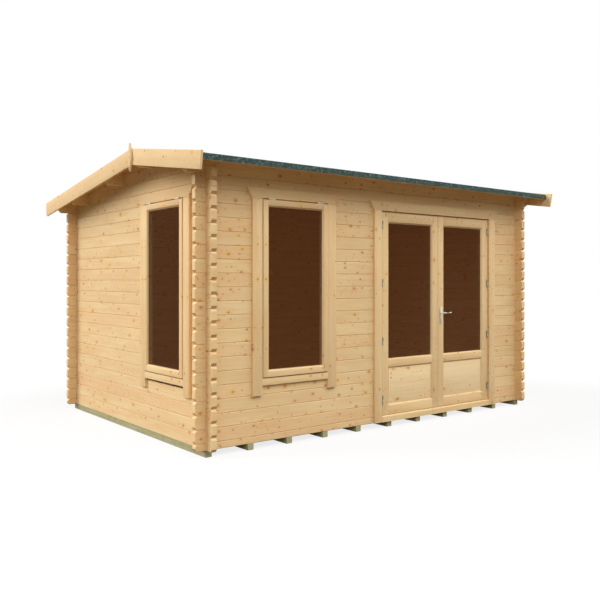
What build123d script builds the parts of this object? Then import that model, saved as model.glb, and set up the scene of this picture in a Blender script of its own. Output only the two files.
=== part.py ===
"""Log cabin with a low apex roof, a pair of half-glazed doors and two windows.

The origin is on the ground under the middle of the roof's outline.
X runs along the front wall, Y from the front wall to the back wall, and Z up.
"""
import os
from math import atan, ceil, cos, radians, sin, tan

from build123d import *

# Walls: interlocking logs laid between four crossed corners.
wall_length = 4120.0  # along X, over the gable walls' outer faces
wall_depth = 2860.0  # along Y, over the front and back walls' outer faces
log_height = 114.0
log_thickness = 50.0
log_tail = 95.0  # how far a log runs on past the crossing wall's outer face
tail_chamfer = 18.0
tail_undercut = 25.0  # height of the chamfer under a tail, as long as the one above it
seam_depth = 4.0  # V groove where two logs meet
seam_height = 5.0  # half the height of that groove
notch_clearance = 0.5
back_logs_fewer = 1  # the back wall is this many logs lower than the front wall

# Floor.
bearer_count = 11
bearer_width = 58.0
bearer_height = 54.0
floor_thickness = 19.0
floor_clearance = 3.0

# Roof: two slopes of boards on wall plates and purlins, with the ridge near the front.
ridge_setback = 915.0  # from the front wall's outer face
front_pitch = radians(8.77)
plate_rise = 20.0  # planed top of a wall plate over a whole log's height
board_thickness = 19.0
felt_thickness = 3.0
eave_reach = 240.0  # felt's edge past the front and back walls
eave_fold = 50.0  # height of the felt folded down over the eave
batten_width = 25.0
barge_reach = 309.0  # bargeboards' ends past the front and back walls
gable_reach = 219.0  # bargeboards' outer faces past the gable walls
barge_thickness = 20.0
barge_height = 144.5
barge_rise = 12.5  # bargeboard above the felt
purlin_depth = 122.0
purlin_setbacks = (1273.0, 399.0)  # from the back wall's outer face
end_chamfer = 38.0  # lower corner of a plate's or purlin's end
finial_width = 70.0
finial_height = 250.0
finial_drop = 205.0  # finial's foot below the bargeboards' apex

# Trim boards on the walls' faces.
trim_thickness = 24.0
head_trim_flare = 57.0
head_trim_height = 95.0

# Windows: two alike, one in the front wall and one in the left gable wall.
front_window_setback = 900.0  # window's middle from the left gable wall's outer face
gable_window_setback = 689.0  # window's middle from the front wall's outer face
sash_width = 708.0
sash_height = 1507.0
sash_sill = 546.0  # sash's foot above the lowest log's foot
sash_thickness = 44.0
sash_member = 62.0
sash_gap = 6.0  # between the sash and its frame
sash_proud = 32.0  # sash's face in front of the wall
sash_bevel = 14.0
window_frame_width = 34.0
window_stop = 18.0
window_trim_width = 98.0
window_trim_foot = 83.0  # side trims' feet below the sill trim
sill_trim_height = 68.0
sill_slit = 19.0  # gap in the gable wall showing under its window's sill trim
sill_slit_hidden = 4.0  # the gap's height behind that trim
sill_slit_fall = 22.0  # how much lower the gap's floor is on the wall's inner face
pane_thickness = 6.0
pane_recess = 12.0  # behind the face of its sash or leaf
window_hinge_offset = 264.0  # each hinge's middle from the window's middle
window_hinge_length = 74.0
window_hinge_radius = 6.5

# Doorway and door leaves.
door_setback = 2757.0  # doorway's middle from the left gable wall's outer face
doorway_width = 1606.0  # between the jambs
doorway_height = 2039.0  # jambs' top above the lowest log's foot
sill_height = 60.0
sill_bevel = 10.0
door_frame_width = 40.0
door_stop = 15.0
door_trim_width = 96.0
door_trim_reveal = 14.5  # jamb's edge left showing inside each side trim
leaf_gap = 5.5  # round each leaf, to the frame
meeting_gap = 6.0  # between the leaves
meeting_bevel = 4.0
leaf_thickness = 40.0
leaf_proud = 6.0  # leaf's face in front of the wall
leaf_stile = 97.0
leaf_top_rail = 111.0
leaf_middle_rail = 97.0
leaf_bottom_rail = 102.0
panel_height = 345.0
panel_thickness = 20.0
panel_recess = 12.0
leaf_bevel = 15.0

# Door hinges: a barrel in front of the gap, in two halves on one pin.
hinge_count = 4
lowest_hinge = 152.0  # lowest barrel's middle above the leaf's foot
highest_hinge = 128.0  # highest barrel's middle below the leaf's head
hinge_length = 72.0
hinge_radius = 8.5
hinge_pin_radius = 2.5
hinge_clearance = 0.1
hinge_slit = 1.0  # between a barrel's halves
hinge_standoff = 0.5  # between a barrel and the leaf's face
hinge_plate_thickness = 2.0
hinge_plate_depth = 30.0

# Door handle, on the right leaf's meeting stile.
handle_backset = 40.0  # spindle from the leaf's meeting edge
handle_height = 1032.0
plate_width = 35.0
plate_height = 172.0
plate_thickness = 4.0
plate_drop = 116.0  # plate's foot below the spindle
spindle_radius = 4.0
spindle_clearance = 1.0
lever_gap = 1.0  # lever's neck off its plate
lever_neck_radius = 9.0
lever_neck_length = 38.0
lever_length = 140.0
lever_height = 18.0
lever_thickness = 10.0

# Places worked out from the sizes above.
left_face, right_face = -wall_length / 2, wall_length / 2
front_face, back_face = -wall_depth / 2, wall_depth / 2
base = bearer_height
highest_trim = max(doorway_height, sash_sill + sash_height) + head_trim_height
front_logs = ceil(highest_trim / log_height - 0.5)  # whole logs, over a half log and under the plate
back_logs = front_logs - back_logs_fewer
gable_logs = front_logs  # whole logs below each gable peak
ridge = front_face + ridge_setback
front_eave = base + (front_logs + 1.5) * log_height + plate_rise
back_eave = base + (back_logs + 1.5) * log_height + plate_rise
ridge_underside = front_eave + ridge_setback * tan(front_pitch)
back_pitch = atan((ridge_underside - back_eave) / (wall_depth - ridge_setback))
roof_half_length = wall_length / 2 + gable_reach - barge_thickness
roof_skin = board_thickness + felt_thickness
above_roof = ridge_underside + log_height
purlin_lines = [back_face - setback for setback in purlin_setbacks]

front_seams = [base] + [base + (k + 0.5) * log_height for k in range(front_logs + 1)]
back_seams = [base] + [base + (k + 0.5) * log_height for k in range(back_logs + 1)]
gable_seams = [base + k * log_height for k in range(gable_logs + 1)]
peak_seams = [base + (gable_logs + k) * log_height for k in range(3)]
window_head = base + sash_sill + sash_height

os.makedirs("parts", exist_ok=True)


def save(piece, label):
    """Labels a finished piece and writes it under the same name."""
    piece.part.label = label
    export_step(piece.part, f"parts/{label}.step")


def polygon(points, mode=Mode.ADD):
    """Adds a closed straight-sided outline to the sketch in hand."""
    Polygon(*points, align=None, mode=mode)


def underside(y):
    """Height of the roof boards' underside at a distance along Y."""
    if y < ridge:
        return ridge_underside - (ridge - y) * tan(front_pitch)
    return ridge_underside - (y - ridge) * tan(back_pitch)


def under_roof(low):
    """Outline, in Y and Z, of everything from a height up to the roof boards."""
    front, back = front_face - barge_reach, back_face + barge_reach
    return [(front, low), (back, low), (back, underside(back)), (ridge, ridge_underside), (front, underside(front))]


def slope_strip(side, reach, low, high, square=False):
    """Outline of a layer of one roof slope, from the ridge to a reach past the wall.

    Low and high are measured square to the slope from the boards' underside.
    The lower end is plumb, or square to the slope.
    """
    pitch = front_pitch if side < 0 else back_pitch
    eave = side * (wall_depth / 2 + reach)
    top = (eave, underside(eave) + high / cos(pitch))
    foot = (eave, underside(eave) + low / cos(pitch))
    if square:
        depth = high - low
        foot = (top[0] - side * depth * sin(pitch), top[1] - depth * cos(pitch))
    return [
        (ridge, ridge_underside + low / cos(pitch)),
        foot,
        top,
        (ridge, ridge_underside + high / cos(pitch)),
    ]


def grooved_side(face, inward, seams, top=None):
    """Points up one face of a stack of logs, with a V groove at each seam."""
    points = [(face + inward * seam_depth, seams[0]), (face, seams[0] + seam_height)]
    for seam in seams[1:-1] if top is None else seams[1:]:
        points += [
            (face, seam - seam_height),
            (face + inward * seam_depth, seam),
            (face, seam + seam_height),
        ]
    if top is None:
        return points + [(face, seams[-1] - seam_height), (face + inward * seam_depth, seams[-1])]
    return points + [(face, top)]


def stack_section(low_face, high_face, seams, top=None):
    """Outline across a stack of logs."""
    return grooved_side(low_face, 1, seams, top) + grooved_side(high_face, -1, seams, top)[::-1]


def tail_end(end, inward, seams, top=None):
    """Points up the sawn ends of a stack's tails, chamfered above and below."""
    points = [(end + inward * tail_chamfer, seams[0]), (end, seams[0] + tail_undercut)]
    for seam in seams[1:-1] if top is None else seams[1:]:
        points += [
            (end, seam - tail_chamfer),
            (end + inward * tail_chamfer, seam),
            (end, seam + tail_undercut),
        ]
    if top is None:
        return points + [(end, seams[-1] - tail_chamfer), (end + inward * tail_chamfer, seams[-1])]
    return points + [(end, top)]


def plain_end(end, seams):
    """Points up a stack's straight cut end."""
    return [(end, seams[0]), (end, seams[-1])]


def cut_slot(low_u, high_u, low_v, high_v):
    """Takes a rectangle out of the sketch in hand."""
    polygon([(low_u, low_v), (high_u, low_v), (high_u, high_v), (low_u, high_v)], mode=Mode.SUBTRACT)


def cross_notches(column, first, low, high):
    """Notches one crossing column: each log keeps the middle half of its height there.

    First is the height, in logs above the base, of the first notch's foot.
    """
    slack = notch_clearance / 2
    foot = base + first * log_height
    while foot < high:
        notch_low, notch_high = max(foot - slack, low - 1), min(foot + log_height / 2 + slack, high + 1)
        if notch_high > low:
            cut_slot(column - slack, column + log_thickness + slack, notch_low, notch_high)
        foot += log_height


def long_wall(label, face_low, seams, left_end, right_end, openings=()):
    """Builds a stack of logs along X. Each end is a list of points up that end."""
    start = min(left_end)[0] - 1
    length = max(right_end)[0] + 1 - start
    with BuildPart() as wall:
        with BuildSketch(Plane.XZ.offset(-(face_low + log_thickness))):
            polygon(left_end + right_end[::-1])
            for column in (left_face, right_face - log_thickness):
                if start < column < start + length:
                    cross_notches(column, 0.25, seams[0], seams[-1])
            for opening in openings:
                cut_slot(*opening)
        extrude(amount=log_thickness)
        with BuildSketch(Plane.YZ.offset(start)):
            polygon(stack_section(face_low, face_low + log_thickness, seams))
        extrude(amount=length, mode=Mode.INTERSECT)
    save(wall, label)


def gable_stack(label, face_low, seams, top=None, openings=(), slit=None):
    """Builds a stack of logs along Y, cut to the roof where it has a top given.

    A slit's floor falls towards the face that looks along X.
    """
    front_tail, back_tail = front_face - log_tail, back_face + log_tail
    highest = seams[-1] if top is None else top
    with BuildPart() as wall:
        with BuildSketch(Plane.YZ.offset(face_low)):
            polygon(tail_end(front_tail, 1, seams, top) + tail_end(back_tail, -1, seams, top)[::-1])
            for column in (front_face, back_face - log_thickness):
                cross_notches(column, -0.25, seams[0], highest)
            for opening in openings:
                cut_slot(*opening)
            if top is not None:
                polygon(under_roof(seams[0]), mode=Mode.INTERSECT)
        extrude(amount=log_thickness)
        with BuildSketch(Plane.XZ.offset(-back_tail)):
            polygon(stack_section(face_low, face_low + log_thickness, seams, top))
        extrude(amount=back_tail - front_tail, mode=Mode.INTERSECT)
        if slit is not None:
            low_y, high_y, low_z, high_z = slit
            outer, inner = face_low - 1, face_low + log_thickness + 1
            with BuildSketch(Plane.XZ.offset(-high_y)):
                polygon([(outer, low_z), (inner, low_z - sill_slit_fall), (inner, high_z), (outer, high_z)])
            extrude(amount=high_y - low_y, mode=Mode.SUBTRACT)
    save(wall, label)


# ---------------------------------------------------------------- floor
bearer_pitch = (wall_length - bearer_width) / (bearer_count - 1)
with BuildPart() as floor_bearers:
    with GridLocations(bearer_pitch, 1, bearer_count, 1):
        Box(bearer_width, wall_depth, bearer_height, align=(Align.CENTER, Align.CENTER, Align.MIN))
save(floor_bearers, "floor_bearers")

inner_length = wall_length - 2 * (log_thickness + floor_clearance)
inner_depth = wall_depth - 2 * (log_thickness + floor_clearance)
with BuildPart() as floor_boards:
    with BuildSketch(Plane.XY.offset(base)):
        Rectangle(inner_length, inner_depth)
    extrude(amount=floor_thickness)
save(floor_boards, "floor_boards")

# ---------------------------------------------------------------- walls
window_half = sash_width / 2 + sash_gap + window_frame_width
window_foot = base + sash_sill - sash_gap - window_frame_width
window_top = window_head + sash_gap + window_frame_width
front_window_x = left_face + front_window_setback
gable_window_y = front_face + gable_window_setback
front_window_hole = (front_window_x - window_half, front_window_x + window_half, window_foot, window_top)
gable_window_hole = (gable_window_y - window_half, gable_window_y + window_half, window_foot, window_top)
sill_trim_foot = base + sash_sill - sill_trim_height
gable_slit = (
    gable_window_y - sash_width / 2 - sash_gap,
    gable_window_y + sash_width / 2 + sash_gap,
    sill_trim_foot - sill_slit,
    sill_trim_foot + sill_slit_hidden,
)

door_x = left_face + door_setback
door_hole_half = doorway_width / 2 + door_frame_width
door_hole_top = base + doorway_height + door_frame_width

left_tails = tail_end(left_face - log_tail, 1, front_seams)
right_tails = tail_end(right_face + log_tail, -1, front_seams)
long_wall(
    "front_wall_left",
    front_face,
    front_seams,
    left_tails,
    plain_end(door_x - door_hole_half, front_seams),
    openings=[front_window_hole],
)
long_wall(
    "front_wall_right",
    front_face,
    front_seams,
    plain_end(door_x + door_hole_half, front_seams),
    right_tails,
)
long_wall(
    "back_wall",
    back_face - log_thickness,
    back_seams,
    tail_end(left_face - log_tail, 1, back_seams),
    tail_end(right_face + log_tail, -1, back_seams),
)

over_door_seams = [seam for seam in front_seams if seam > door_hole_top]
with BuildPart() as front_wall_over_door:
    with BuildSketch(Plane.YZ.offset(door_x - door_hole_half)):
        outer = grooved_side(front_face, 1, over_door_seams)[2:]
        inner = grooved_side(front_face + log_thickness, -1, over_door_seams)[2:]
        foot = [(front_face + log_thickness, door_hole_top), (front_face, door_hole_top)]
        lowest = over_door_seams[0]
        outer = [
            (front_face, lowest - seam_height),
            (front_face + seam_depth, lowest),
            (front_face, lowest + seam_height),
        ] + outer
        inner = [
            (front_face + log_thickness, lowest - seam_height),
            (front_face + log_thickness - seam_depth, lowest),
            (front_face + log_thickness, lowest + seam_height),
        ] + inner
        polygon(foot + outer + inner[::-1])
    extrude(amount=2 * door_hole_half)
save(front_wall_over_door, "front_wall_over_door")

for gable, face_low in (("left", left_face), ("right", right_face - log_thickness)):
    gable_stack(
        f"{gable}_gable_wall",
        face_low,
        gable_seams,
        openings=[gable_window_hole] if gable == "left" else [],
        slit=gable_slit if gable == "left" else None,
    )
    half = log_thickness / 2 + notch_clearance / 2
    notches = [
        (line - half, line + half, underside(line) - purlin_depth - notch_clearance / 2, above_roof)
        for line in [ridge] + purlin_lines
    ]
    gable_stack(f"{gable}_gable_peak", face_low, peak_seams, top=above_roof, openings=notches)

# ---------------------------------------------------------------- roof timbers
for label, face_low, foot in (
    ("front_wall_plate", front_face, front_seams[-1]),
    ("back_wall_plate", back_face - log_thickness, back_seams[-1]),
):
    keep_foot = foot + log_height / 4 + notch_clearance / 2
    keep_top = foot + 3 * log_height / 4 - notch_clearance / 2
    with BuildPart() as wall_plate:
        with BuildSketch(Plane.XZ.offset(-(face_low + log_thickness))):
            polygon(
                [
                    (-roof_half_length + end_chamfer, foot),
                    (roof_half_length - end_chamfer, foot),
                    (roof_half_length, foot + end_chamfer),
                    (roof_half_length, above_roof),
                    (-roof_half_length, above_roof),
                    (-roof_half_length, foot + end_chamfer),
                ]
            )
            for column in (left_face, right_face - log_thickness):
                low_x, high_x = column - notch_clearance / 2, column + log_thickness + notch_clearance / 2
                cut_slot(low_x, high_x, foot - 1, keep_foot)
                cut_slot(low_x, high_x, keep_top, above_roof + 1)
        extrude(amount=log_thickness)
        with BuildSketch(Plane.YZ.offset(-roof_half_length)):
            polygon(stack_section(face_low, face_low + log_thickness, [foot], above_roof))
            polygon(under_roof(foot), mode=Mode.INTERSECT)
        extrude(amount=2 * roof_half_length, mode=Mode.INTERSECT)
    save(wall_plate, label)

with BuildPart() as roof_purlins:
    for line in [ridge] + purlin_lines:
        foot = underside(line) - purlin_depth
        with BuildSketch(Plane.XZ.offset(-(line + log_thickness / 2))):
            polygon(
                [
                    (-roof_half_length + end_chamfer, foot),
                    (roof_half_length - end_chamfer, foot),
                    (roof_half_length, foot + end_chamfer),
                    (roof_half_length, above_roof),
                    (-roof_half_length, above_roof),
                    (-roof_half_length, foot + end_chamfer),
                ]
            )
        extrude(amount=log_thickness)
    with BuildSketch(Plane.YZ.offset(-roof_half_length)):
        polygon(under_roof(base))
    extrude(amount=2 * roof_half_length, mode=Mode.INTERSECT)
save(roof_purlins, "roof_purlins")

# ---------------------------------------------------------------- roof covering
for label, side, pitch in (("front", -1, front_pitch), ("back", 1, back_pitch)):
    board_reach = eave_reach - felt_thickness
    with BuildPart() as roof_boards:
        with BuildSketch(Plane.YZ.offset(-roof_half_length)):
            polygon(slope_strip(side, board_reach, 0, board_thickness))
        extrude(amount=2 * roof_half_length)
    save(roof_boards, f"{label}_roof_boards")

    eave = side * (wall_depth / 2 + eave_reach)
    felt_top = underside(eave) + roof_skin / cos(pitch)
    fold_inner = eave - side * felt_thickness
    with BuildPart() as roof_felt:
        with BuildSketch(Plane.YZ.offset(-roof_half_length)):
            polygon(
                [
                    (ridge, ridge_underside + board_thickness / cos(pitch)),
                    (fold_inner, underside(fold_inner) + board_thickness / cos(pitch)),
                    (fold_inner, felt_top - eave_fold),
                    (eave, felt_top - eave_fold),
                    (eave, felt_top),
                    (ridge, ridge_underside + roof_skin / cos(pitch)),
                ]
            )
        extrude(amount=2 * roof_half_length)
    save(roof_felt, f"{label}_roof_felt")

with BuildPart() as eave_battens:
    for side, pitch in ((-1, front_pitch), (1, back_pitch)):
        eave = side * (wall_depth / 2 + eave_reach)
        outer = eave - side * felt_thickness
        inner = outer - side * batten_width
        foot = underside(eave) + roof_skin / cos(pitch) - eave_fold
        with BuildSketch(Plane.YZ.offset(-roof_half_length)):
            polygon([(outer, foot), (inner, foot), (inner, underside(inner)), (outer, underside(outer))])
        extrude(amount=2 * roof_half_length)
save(eave_battens, "eave_battens")

barge_top = roof_skin + barge_rise
for gable, plane_x in (("left", -roof_half_length - barge_thickness), ("right", roof_half_length)):
    for label, side in (("front", -1), ("back", 1)):
        with BuildPart() as bargeboard:
            with BuildSketch(Plane.YZ.offset(plane_x)):
                polygon(slope_strip(side, barge_reach, barge_top - barge_height, barge_top, square=True))
            extrude(amount=barge_thickness)
        save(bargeboard, f"{gable}_{label}_bargeboard")

finial_foot = ridge_underside + barge_top - finial_drop
finial_tip = finial_foot + finial_height
finial_waist = finial_foot + finial_height / 2
with BuildPart() as finials:
    for plane_x in (-roof_half_length - 2 * barge_thickness, roof_half_length + barge_thickness):
        with BuildSketch(Plane.YZ.offset(plane_x)):
            polygon(
                [
                    (ridge, finial_foot),
                    (ridge + finial_width / 2, finial_waist),
                    (ridge, finial_tip),
                    (ridge - finial_width / 2, finial_waist),
                ]
            )
        extrude(amount=barge_thickness)
save(finials, "finials")


# ---------------------------------------------------------------- windows
def build_window(name, wall):
    """Builds one window's pieces on a wall's outer face.

    Wall is a plane on that face at the ground, with its normal pointing out of the cabin.
    """
    foot = base + sash_sill
    middle = foot + sash_height / 2
    frame_half = sash_width / 2 + sash_gap

    with BuildPart() as frame:
        with BuildSketch(wall.offset(-log_thickness)):
            with Locations((0, middle)):
                Rectangle(2 * window_half, window_top - window_foot)
                Rectangle(2 * frame_half, sash_height + 2 * sash_gap, mode=Mode.SUBTRACT)
        extrude(amount=log_thickness)
        stop_depth = log_thickness + sash_proud - sash_thickness
        with BuildSketch(wall.offset(-log_thickness)):
            with Locations((0, middle)):
                Rectangle(2 * frame_half, sash_height + 2 * sash_gap)
                Rectangle(
                    2 * (frame_half - window_stop),
                    sash_height + 2 * (sash_gap - window_stop),
                    mode=Mode.SUBTRACT,
                )
        extrude(amount=stop_depth)
    save(frame, f"{name}_frame")

    pane_width = sash_width - 2 * sash_member
    pane_height = sash_height - 2 * sash_member
    with BuildPart() as sash:
        with BuildSketch(wall.offset(sash_proud - sash_thickness)):
            with Locations((0, middle)):
                Rectangle(sash_width, sash_height)
                Rectangle(pane_width, pane_height, mode=Mode.SUBTRACT)
        extrude(amount=sash_thickness)
        front = sash.faces().filter_by(lambda face: face.normal_at().dot(wall.z_dir) > 0.9)
        chamfer(front[0].inner_wires()[0].edges(), length=sash_bevel)
    save(sash, f"{name}_sash")

    with BuildPart() as glass:
        with BuildSketch(wall.offset(sash_proud - pane_recess - pane_thickness)):
            with Locations((0, middle)):
                Rectangle(pane_width, pane_height)
        extrude(amount=pane_thickness)
    save(glass, f"{name}_glass")

    trim_half = frame_half + window_trim_width
    trim_foot = foot - sill_trim_height - window_trim_foot
    trim_head = foot + sash_height
    with BuildPart() as trim:
        with BuildSketch(wall):
            polygon(
                [
                    (-trim_half, trim_foot),
                    (-frame_half, trim_foot),
                    (-frame_half, foot - sill_trim_height),
                    (frame_half, foot - sill_trim_height),
                    (frame_half, trim_foot),
                    (trim_half, trim_foot),
                    (trim_half, trim_head),
                    (trim_half + head_trim_flare, trim_head + head_trim_height),
                    (-trim_half - head_trim_flare, trim_head + head_trim_height),
                    (-trim_half, trim_head),
                ]
            )
            cut_slot(-frame_half, frame_half, foot - sash_gap, foot + sash_height + sash_gap)
        extrude(amount=trim_thickness)
    save(trim, f"{name}_trim")

    hinge_line = wall.offset(trim_thickness + window_hinge_radius)
    with BuildPart() as hinges:
        for side in (-1, 1):
            start = hinge_line.from_local_coords(
                (side * window_hinge_offset - window_hinge_length / 2, trim_head + window_hinge_radius, 0)
            )
            with BuildSketch(Plane(origin=start, z_dir=wall.x_dir)):
                Circle(window_hinge_radius)
            extrude(amount=window_hinge_length)
    save(hinges, f"{name}_hinges")


build_window("front_window", Plane(origin=(front_window_x, front_face, 0), x_dir=(1, 0, 0), z_dir=(0, -1, 0)))
build_window("gable_window", Plane(origin=(left_face, gable_window_y, 0), x_dir=(0, -1, 0), z_dir=(-1, 0, 0)))

# ---------------------------------------------------------------- doorway
door_wall = Plane(origin=(door_x, front_face, 0), x_dir=(1, 0, 0), z_dir=(0, -1, 0))
jamb_face = doorway_width / 2
jamb_back = jamb_face + door_frame_width
lintel = base + doorway_height
sill_top = base + sill_height
trim_inner = jamb_face + door_trim_reveal
trim_outer = trim_inner + door_trim_width
stop_face = leaf_thickness - leaf_proud + leaf_gap  # stop's face behind the wall's face

with BuildPart() as door_frame:
    with BuildSketch(door_wall.offset(-log_thickness)):
        polygon([(-jamb_back, base), (jamb_back, base), (jamb_back, door_hole_top), (-jamb_back, door_hole_top)])
        cut_slot(-jamb_face, jamb_face, sill_top, lintel)
    extrude(amount=log_thickness)
    with BuildSketch(door_wall.offset(-log_thickness)):
        polygon([(-jamb_face, sill_top), (jamb_face, sill_top), (jamb_face, lintel), (-jamb_face, lintel)])
        cut_slot(-jamb_face + door_stop, jamb_face - door_stop, sill_top + door_stop, lintel - door_stop)
    extrude(amount=log_thickness - stop_face)
    with BuildSketch(Plane.YZ.offset(door_x - trim_inner)):
        polygon(
            [
                (front_face, base),
                (front_face - trim_thickness, base),
                (front_face - trim_thickness, sill_top - sill_bevel),
                (front_face - trim_thickness + sill_bevel, sill_top),
                (front_face, sill_top),
            ]
        )
    extrude(amount=2 * trim_inner)
save(door_frame, "door_frame")

with BuildPart() as door_trim:
    with BuildSketch(door_wall):
        polygon(
            [
                (-trim_outer, base),
                (-trim_inner, base),
                (-trim_inner, lintel),
                (trim_inner, lintel),
                (trim_inner, base),
                (trim_outer, base),
                (trim_outer, lintel),
                (trim_outer + head_trim_flare, lintel + head_trim_height),
                (-trim_outer - head_trim_flare, lintel + head_trim_height),
                (-trim_outer, lintel),
            ]
        )
    extrude(amount=trim_thickness)
save(door_trim, "door_trim")

# ---------------------------------------------------------------- door leaves
leaf_width = (doorway_width - 2 * leaf_gap - meeting_gap) / 2
leaf_foot = sill_top + leaf_gap
leaf_head = lintel - leaf_gap
panel_foot = leaf_foot + leaf_bottom_rail
panel_head = panel_foot + panel_height
pane_foot = panel_head + leaf_middle_rail
pane_head = leaf_head - leaf_top_rail
leaf_back = door_wall.offset(leaf_proud - leaf_thickness)
hinge_axis_out = leaf_proud + hinge_standoff + hinge_radius
hinge_axis_side = jamb_face - leaf_gap / 2
hinge_pitch = (leaf_head - highest_hinge - leaf_foot - lowest_hinge) / (hinge_count - 1)
hinge_heights = [leaf_foot + lowest_hinge + k * hinge_pitch for k in range(hinge_count)]
spindle_u = meeting_gap / 2 + handle_backset
spindle_v = base + handle_height

for label, side in (("left", -1), ("right", 1)):
    meeting_edge = side * meeting_gap / 2
    hinge_edge = meeting_edge + side * leaf_width
    low_u, high_u = sorted((meeting_edge, hinge_edge))
    with BuildPart() as leaf:
        with BuildSketch(leaf_back):
            polygon([(low_u, leaf_foot), (high_u, leaf_foot), (high_u, leaf_head), (low_u, leaf_head)])
            cut_slot(low_u + leaf_stile, high_u - leaf_stile, panel_foot, panel_head)
            cut_slot(low_u + leaf_stile, high_u - leaf_stile, pane_foot, pane_head)
        extrude(amount=leaf_thickness)
        front = leaf.faces().filter_by(lambda face: face.normal_at().dot(door_wall.z_dir) > 0.9)
        chamfer([edge for wire in front[0].inner_wires() for edge in wire.edges()], length=leaf_bevel)
        edge_x = door_x + meeting_edge
        back_y = front_face + leaf_thickness - leaf_proud
        with BuildSketch(Plane.XY.offset(leaf_foot)):
            polygon(
                [
                    (edge_x, front_face - leaf_proud),
                    (edge_x, back_y + 1),
                    (edge_x + side * meeting_bevel, back_y + 1),
                    (edge_x + side * meeting_bevel, back_y),
                ]
            )
        extrude(amount=leaf_head - leaf_foot, mode=Mode.SUBTRACT)
        if side > 0:
            with BuildSketch(leaf_back):
                with Locations((spindle_u, spindle_v)):
                    Circle(spindle_radius + spindle_clearance)
            extrude(amount=leaf_thickness, mode=Mode.SUBTRACT)
    save(leaf, f"{label}_door_leaf")

    opening_u = (low_u + high_u) / 2
    opening_width = leaf_width - 2 * leaf_stile
    with BuildPart() as door_glass:
        with BuildSketch(door_wall.offset(leaf_proud - pane_recess - pane_thickness)):
            with Locations((opening_u, (pane_foot + pane_head) / 2)):
                Rectangle(opening_width, pane_head - pane_foot)
        extrude(amount=pane_thickness)
    save(door_glass, f"{label}_door_glass")

    with BuildPart() as door_panel:
        with BuildSketch(door_wall.offset(leaf_proud - panel_recess - panel_thickness)):
            with Locations((opening_u, (panel_foot + panel_head) / 2)):
                Rectangle(opening_width, panel_height)
        extrude(amount=panel_thickness)
    save(door_panel, f"{label}_door_panel")

# ---------------------------------------------------------------- door hinges
half_barrel = (hinge_length - hinge_slit) / 2
axis_y = front_face - hinge_axis_out

with BuildPart() as hinge_pins:
    for side in (-1, 1):
        axis_x = door_x + side * hinge_axis_side
        plate_x = door_x + side * (jamb_face - hinge_plate_thickness / 2)
        for height in hinge_heights:
            foot = height - hinge_length / 2
            with BuildSketch(Plane.XY.offset(foot)):
                with Locations((axis_x, axis_y)):
                    Circle(hinge_radius)
                with Locations((plate_x, axis_y)):
                    Rectangle(
                        hinge_plate_thickness,
                        hinge_axis_out + hinge_plate_depth,
                        align=(Align.CENTER, Align.MIN),
                    )
            extrude(amount=half_barrel)
            with BuildSketch(Plane.XY.offset(foot + half_barrel)):
                with Locations((axis_x, axis_y)):
                    Circle(hinge_pin_radius)
            extrude(amount=hinge_slit + half_barrel)
save(hinge_pins, "door_hinge_pins")

for label, side in (("left", -1), ("right", 1)):
    axis_x = door_x + side * hinge_axis_side
    plate_x = door_x + side * (meeting_gap / 2 + leaf_width + hinge_plate_thickness / 2)
    with BuildPart() as leaf_hinges:
        for height in hinge_heights:
            with BuildSketch(Plane.XY.offset(height + hinge_slit / 2)):
                with Locations((axis_x, axis_y)):
                    Circle(hinge_radius)
                with Locations((plate_x, axis_y)):
                    Rectangle(
                        hinge_plate_thickness,
                        hinge_axis_out + hinge_plate_depth - leaf_proud,
                        align=(Align.CENTER, Align.MIN),
                    )
                with Locations((axis_x, axis_y)):
                    Circle(hinge_pin_radius + hinge_clearance, mode=Mode.SUBTRACT)
            extrude(amount=half_barrel)
    save(leaf_hinges, f"{label}_door_hinges")

# ---------------------------------------------------------------- door handle
plate_centre = (spindle_u, spindle_v - plate_drop + plate_height / 2)
with BuildPart() as handle_plates:
    for plate_plane in (leaf_back.offset(-plate_thickness), leaf_back.offset(leaf_thickness)):
        with BuildSketch(plate_plane):
            with Locations(plate_centre):
                RectangleRounded(plate_width, plate_height, plate_width / 3)
            with Locations((spindle_u, spindle_v)):
                Circle(spindle_radius + spindle_clearance, mode=Mode.SUBTRACT)
        extrude(amount=plate_thickness)
save(handle_plates, "handle_plates")

neck_foot = plate_thickness + lever_gap
with BuildPart() as door_handle:
    with BuildSketch(leaf_back.offset(-neck_foot)):
        with Locations((spindle_u, spindle_v)):
            Circle(spindle_radius)
    extrude(amount=leaf_thickness + 2 * neck_foot)
    for start, direction in ((leaf_back.offset(-neck_foot), -1), (leaf_back.offset(leaf_thickness + neck_foot), 1)):
        with BuildSketch(start):
            with Locations((spindle_u, spindle_v)):
                Circle(lever_neck_radius)
        extrude(amount=direction * lever_neck_length)
        with BuildSketch(start.offset(direction * (lever_neck_length - lever_thickness))):
            with Locations((spindle_u + lever_length / 2 - lever_neck_radius, spindle_v)):
                SlotOverall(lever_length, lever_height)
        extrude(amount=direction * lever_thickness)
save(door_handle, "door_handle")
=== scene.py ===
"""Log cabin of planed spruce with half-glazed double doors, tall windows and a low felted roof.

The stacked log walls, plates, purlins, window linings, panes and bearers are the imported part's
own solids, given their finishes here. The joinery, the roof's boards and felt, the floor and the
metalwork are built here from boards and bars, in metres, in the part's frame: X along the front
wall, Y from the front wall to the back wall, Z up, and the origin on the ground under the middle
of the roof's outline.
"""
import logging
import math
from dataclasses import dataclass, field
from enum import Enum

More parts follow.
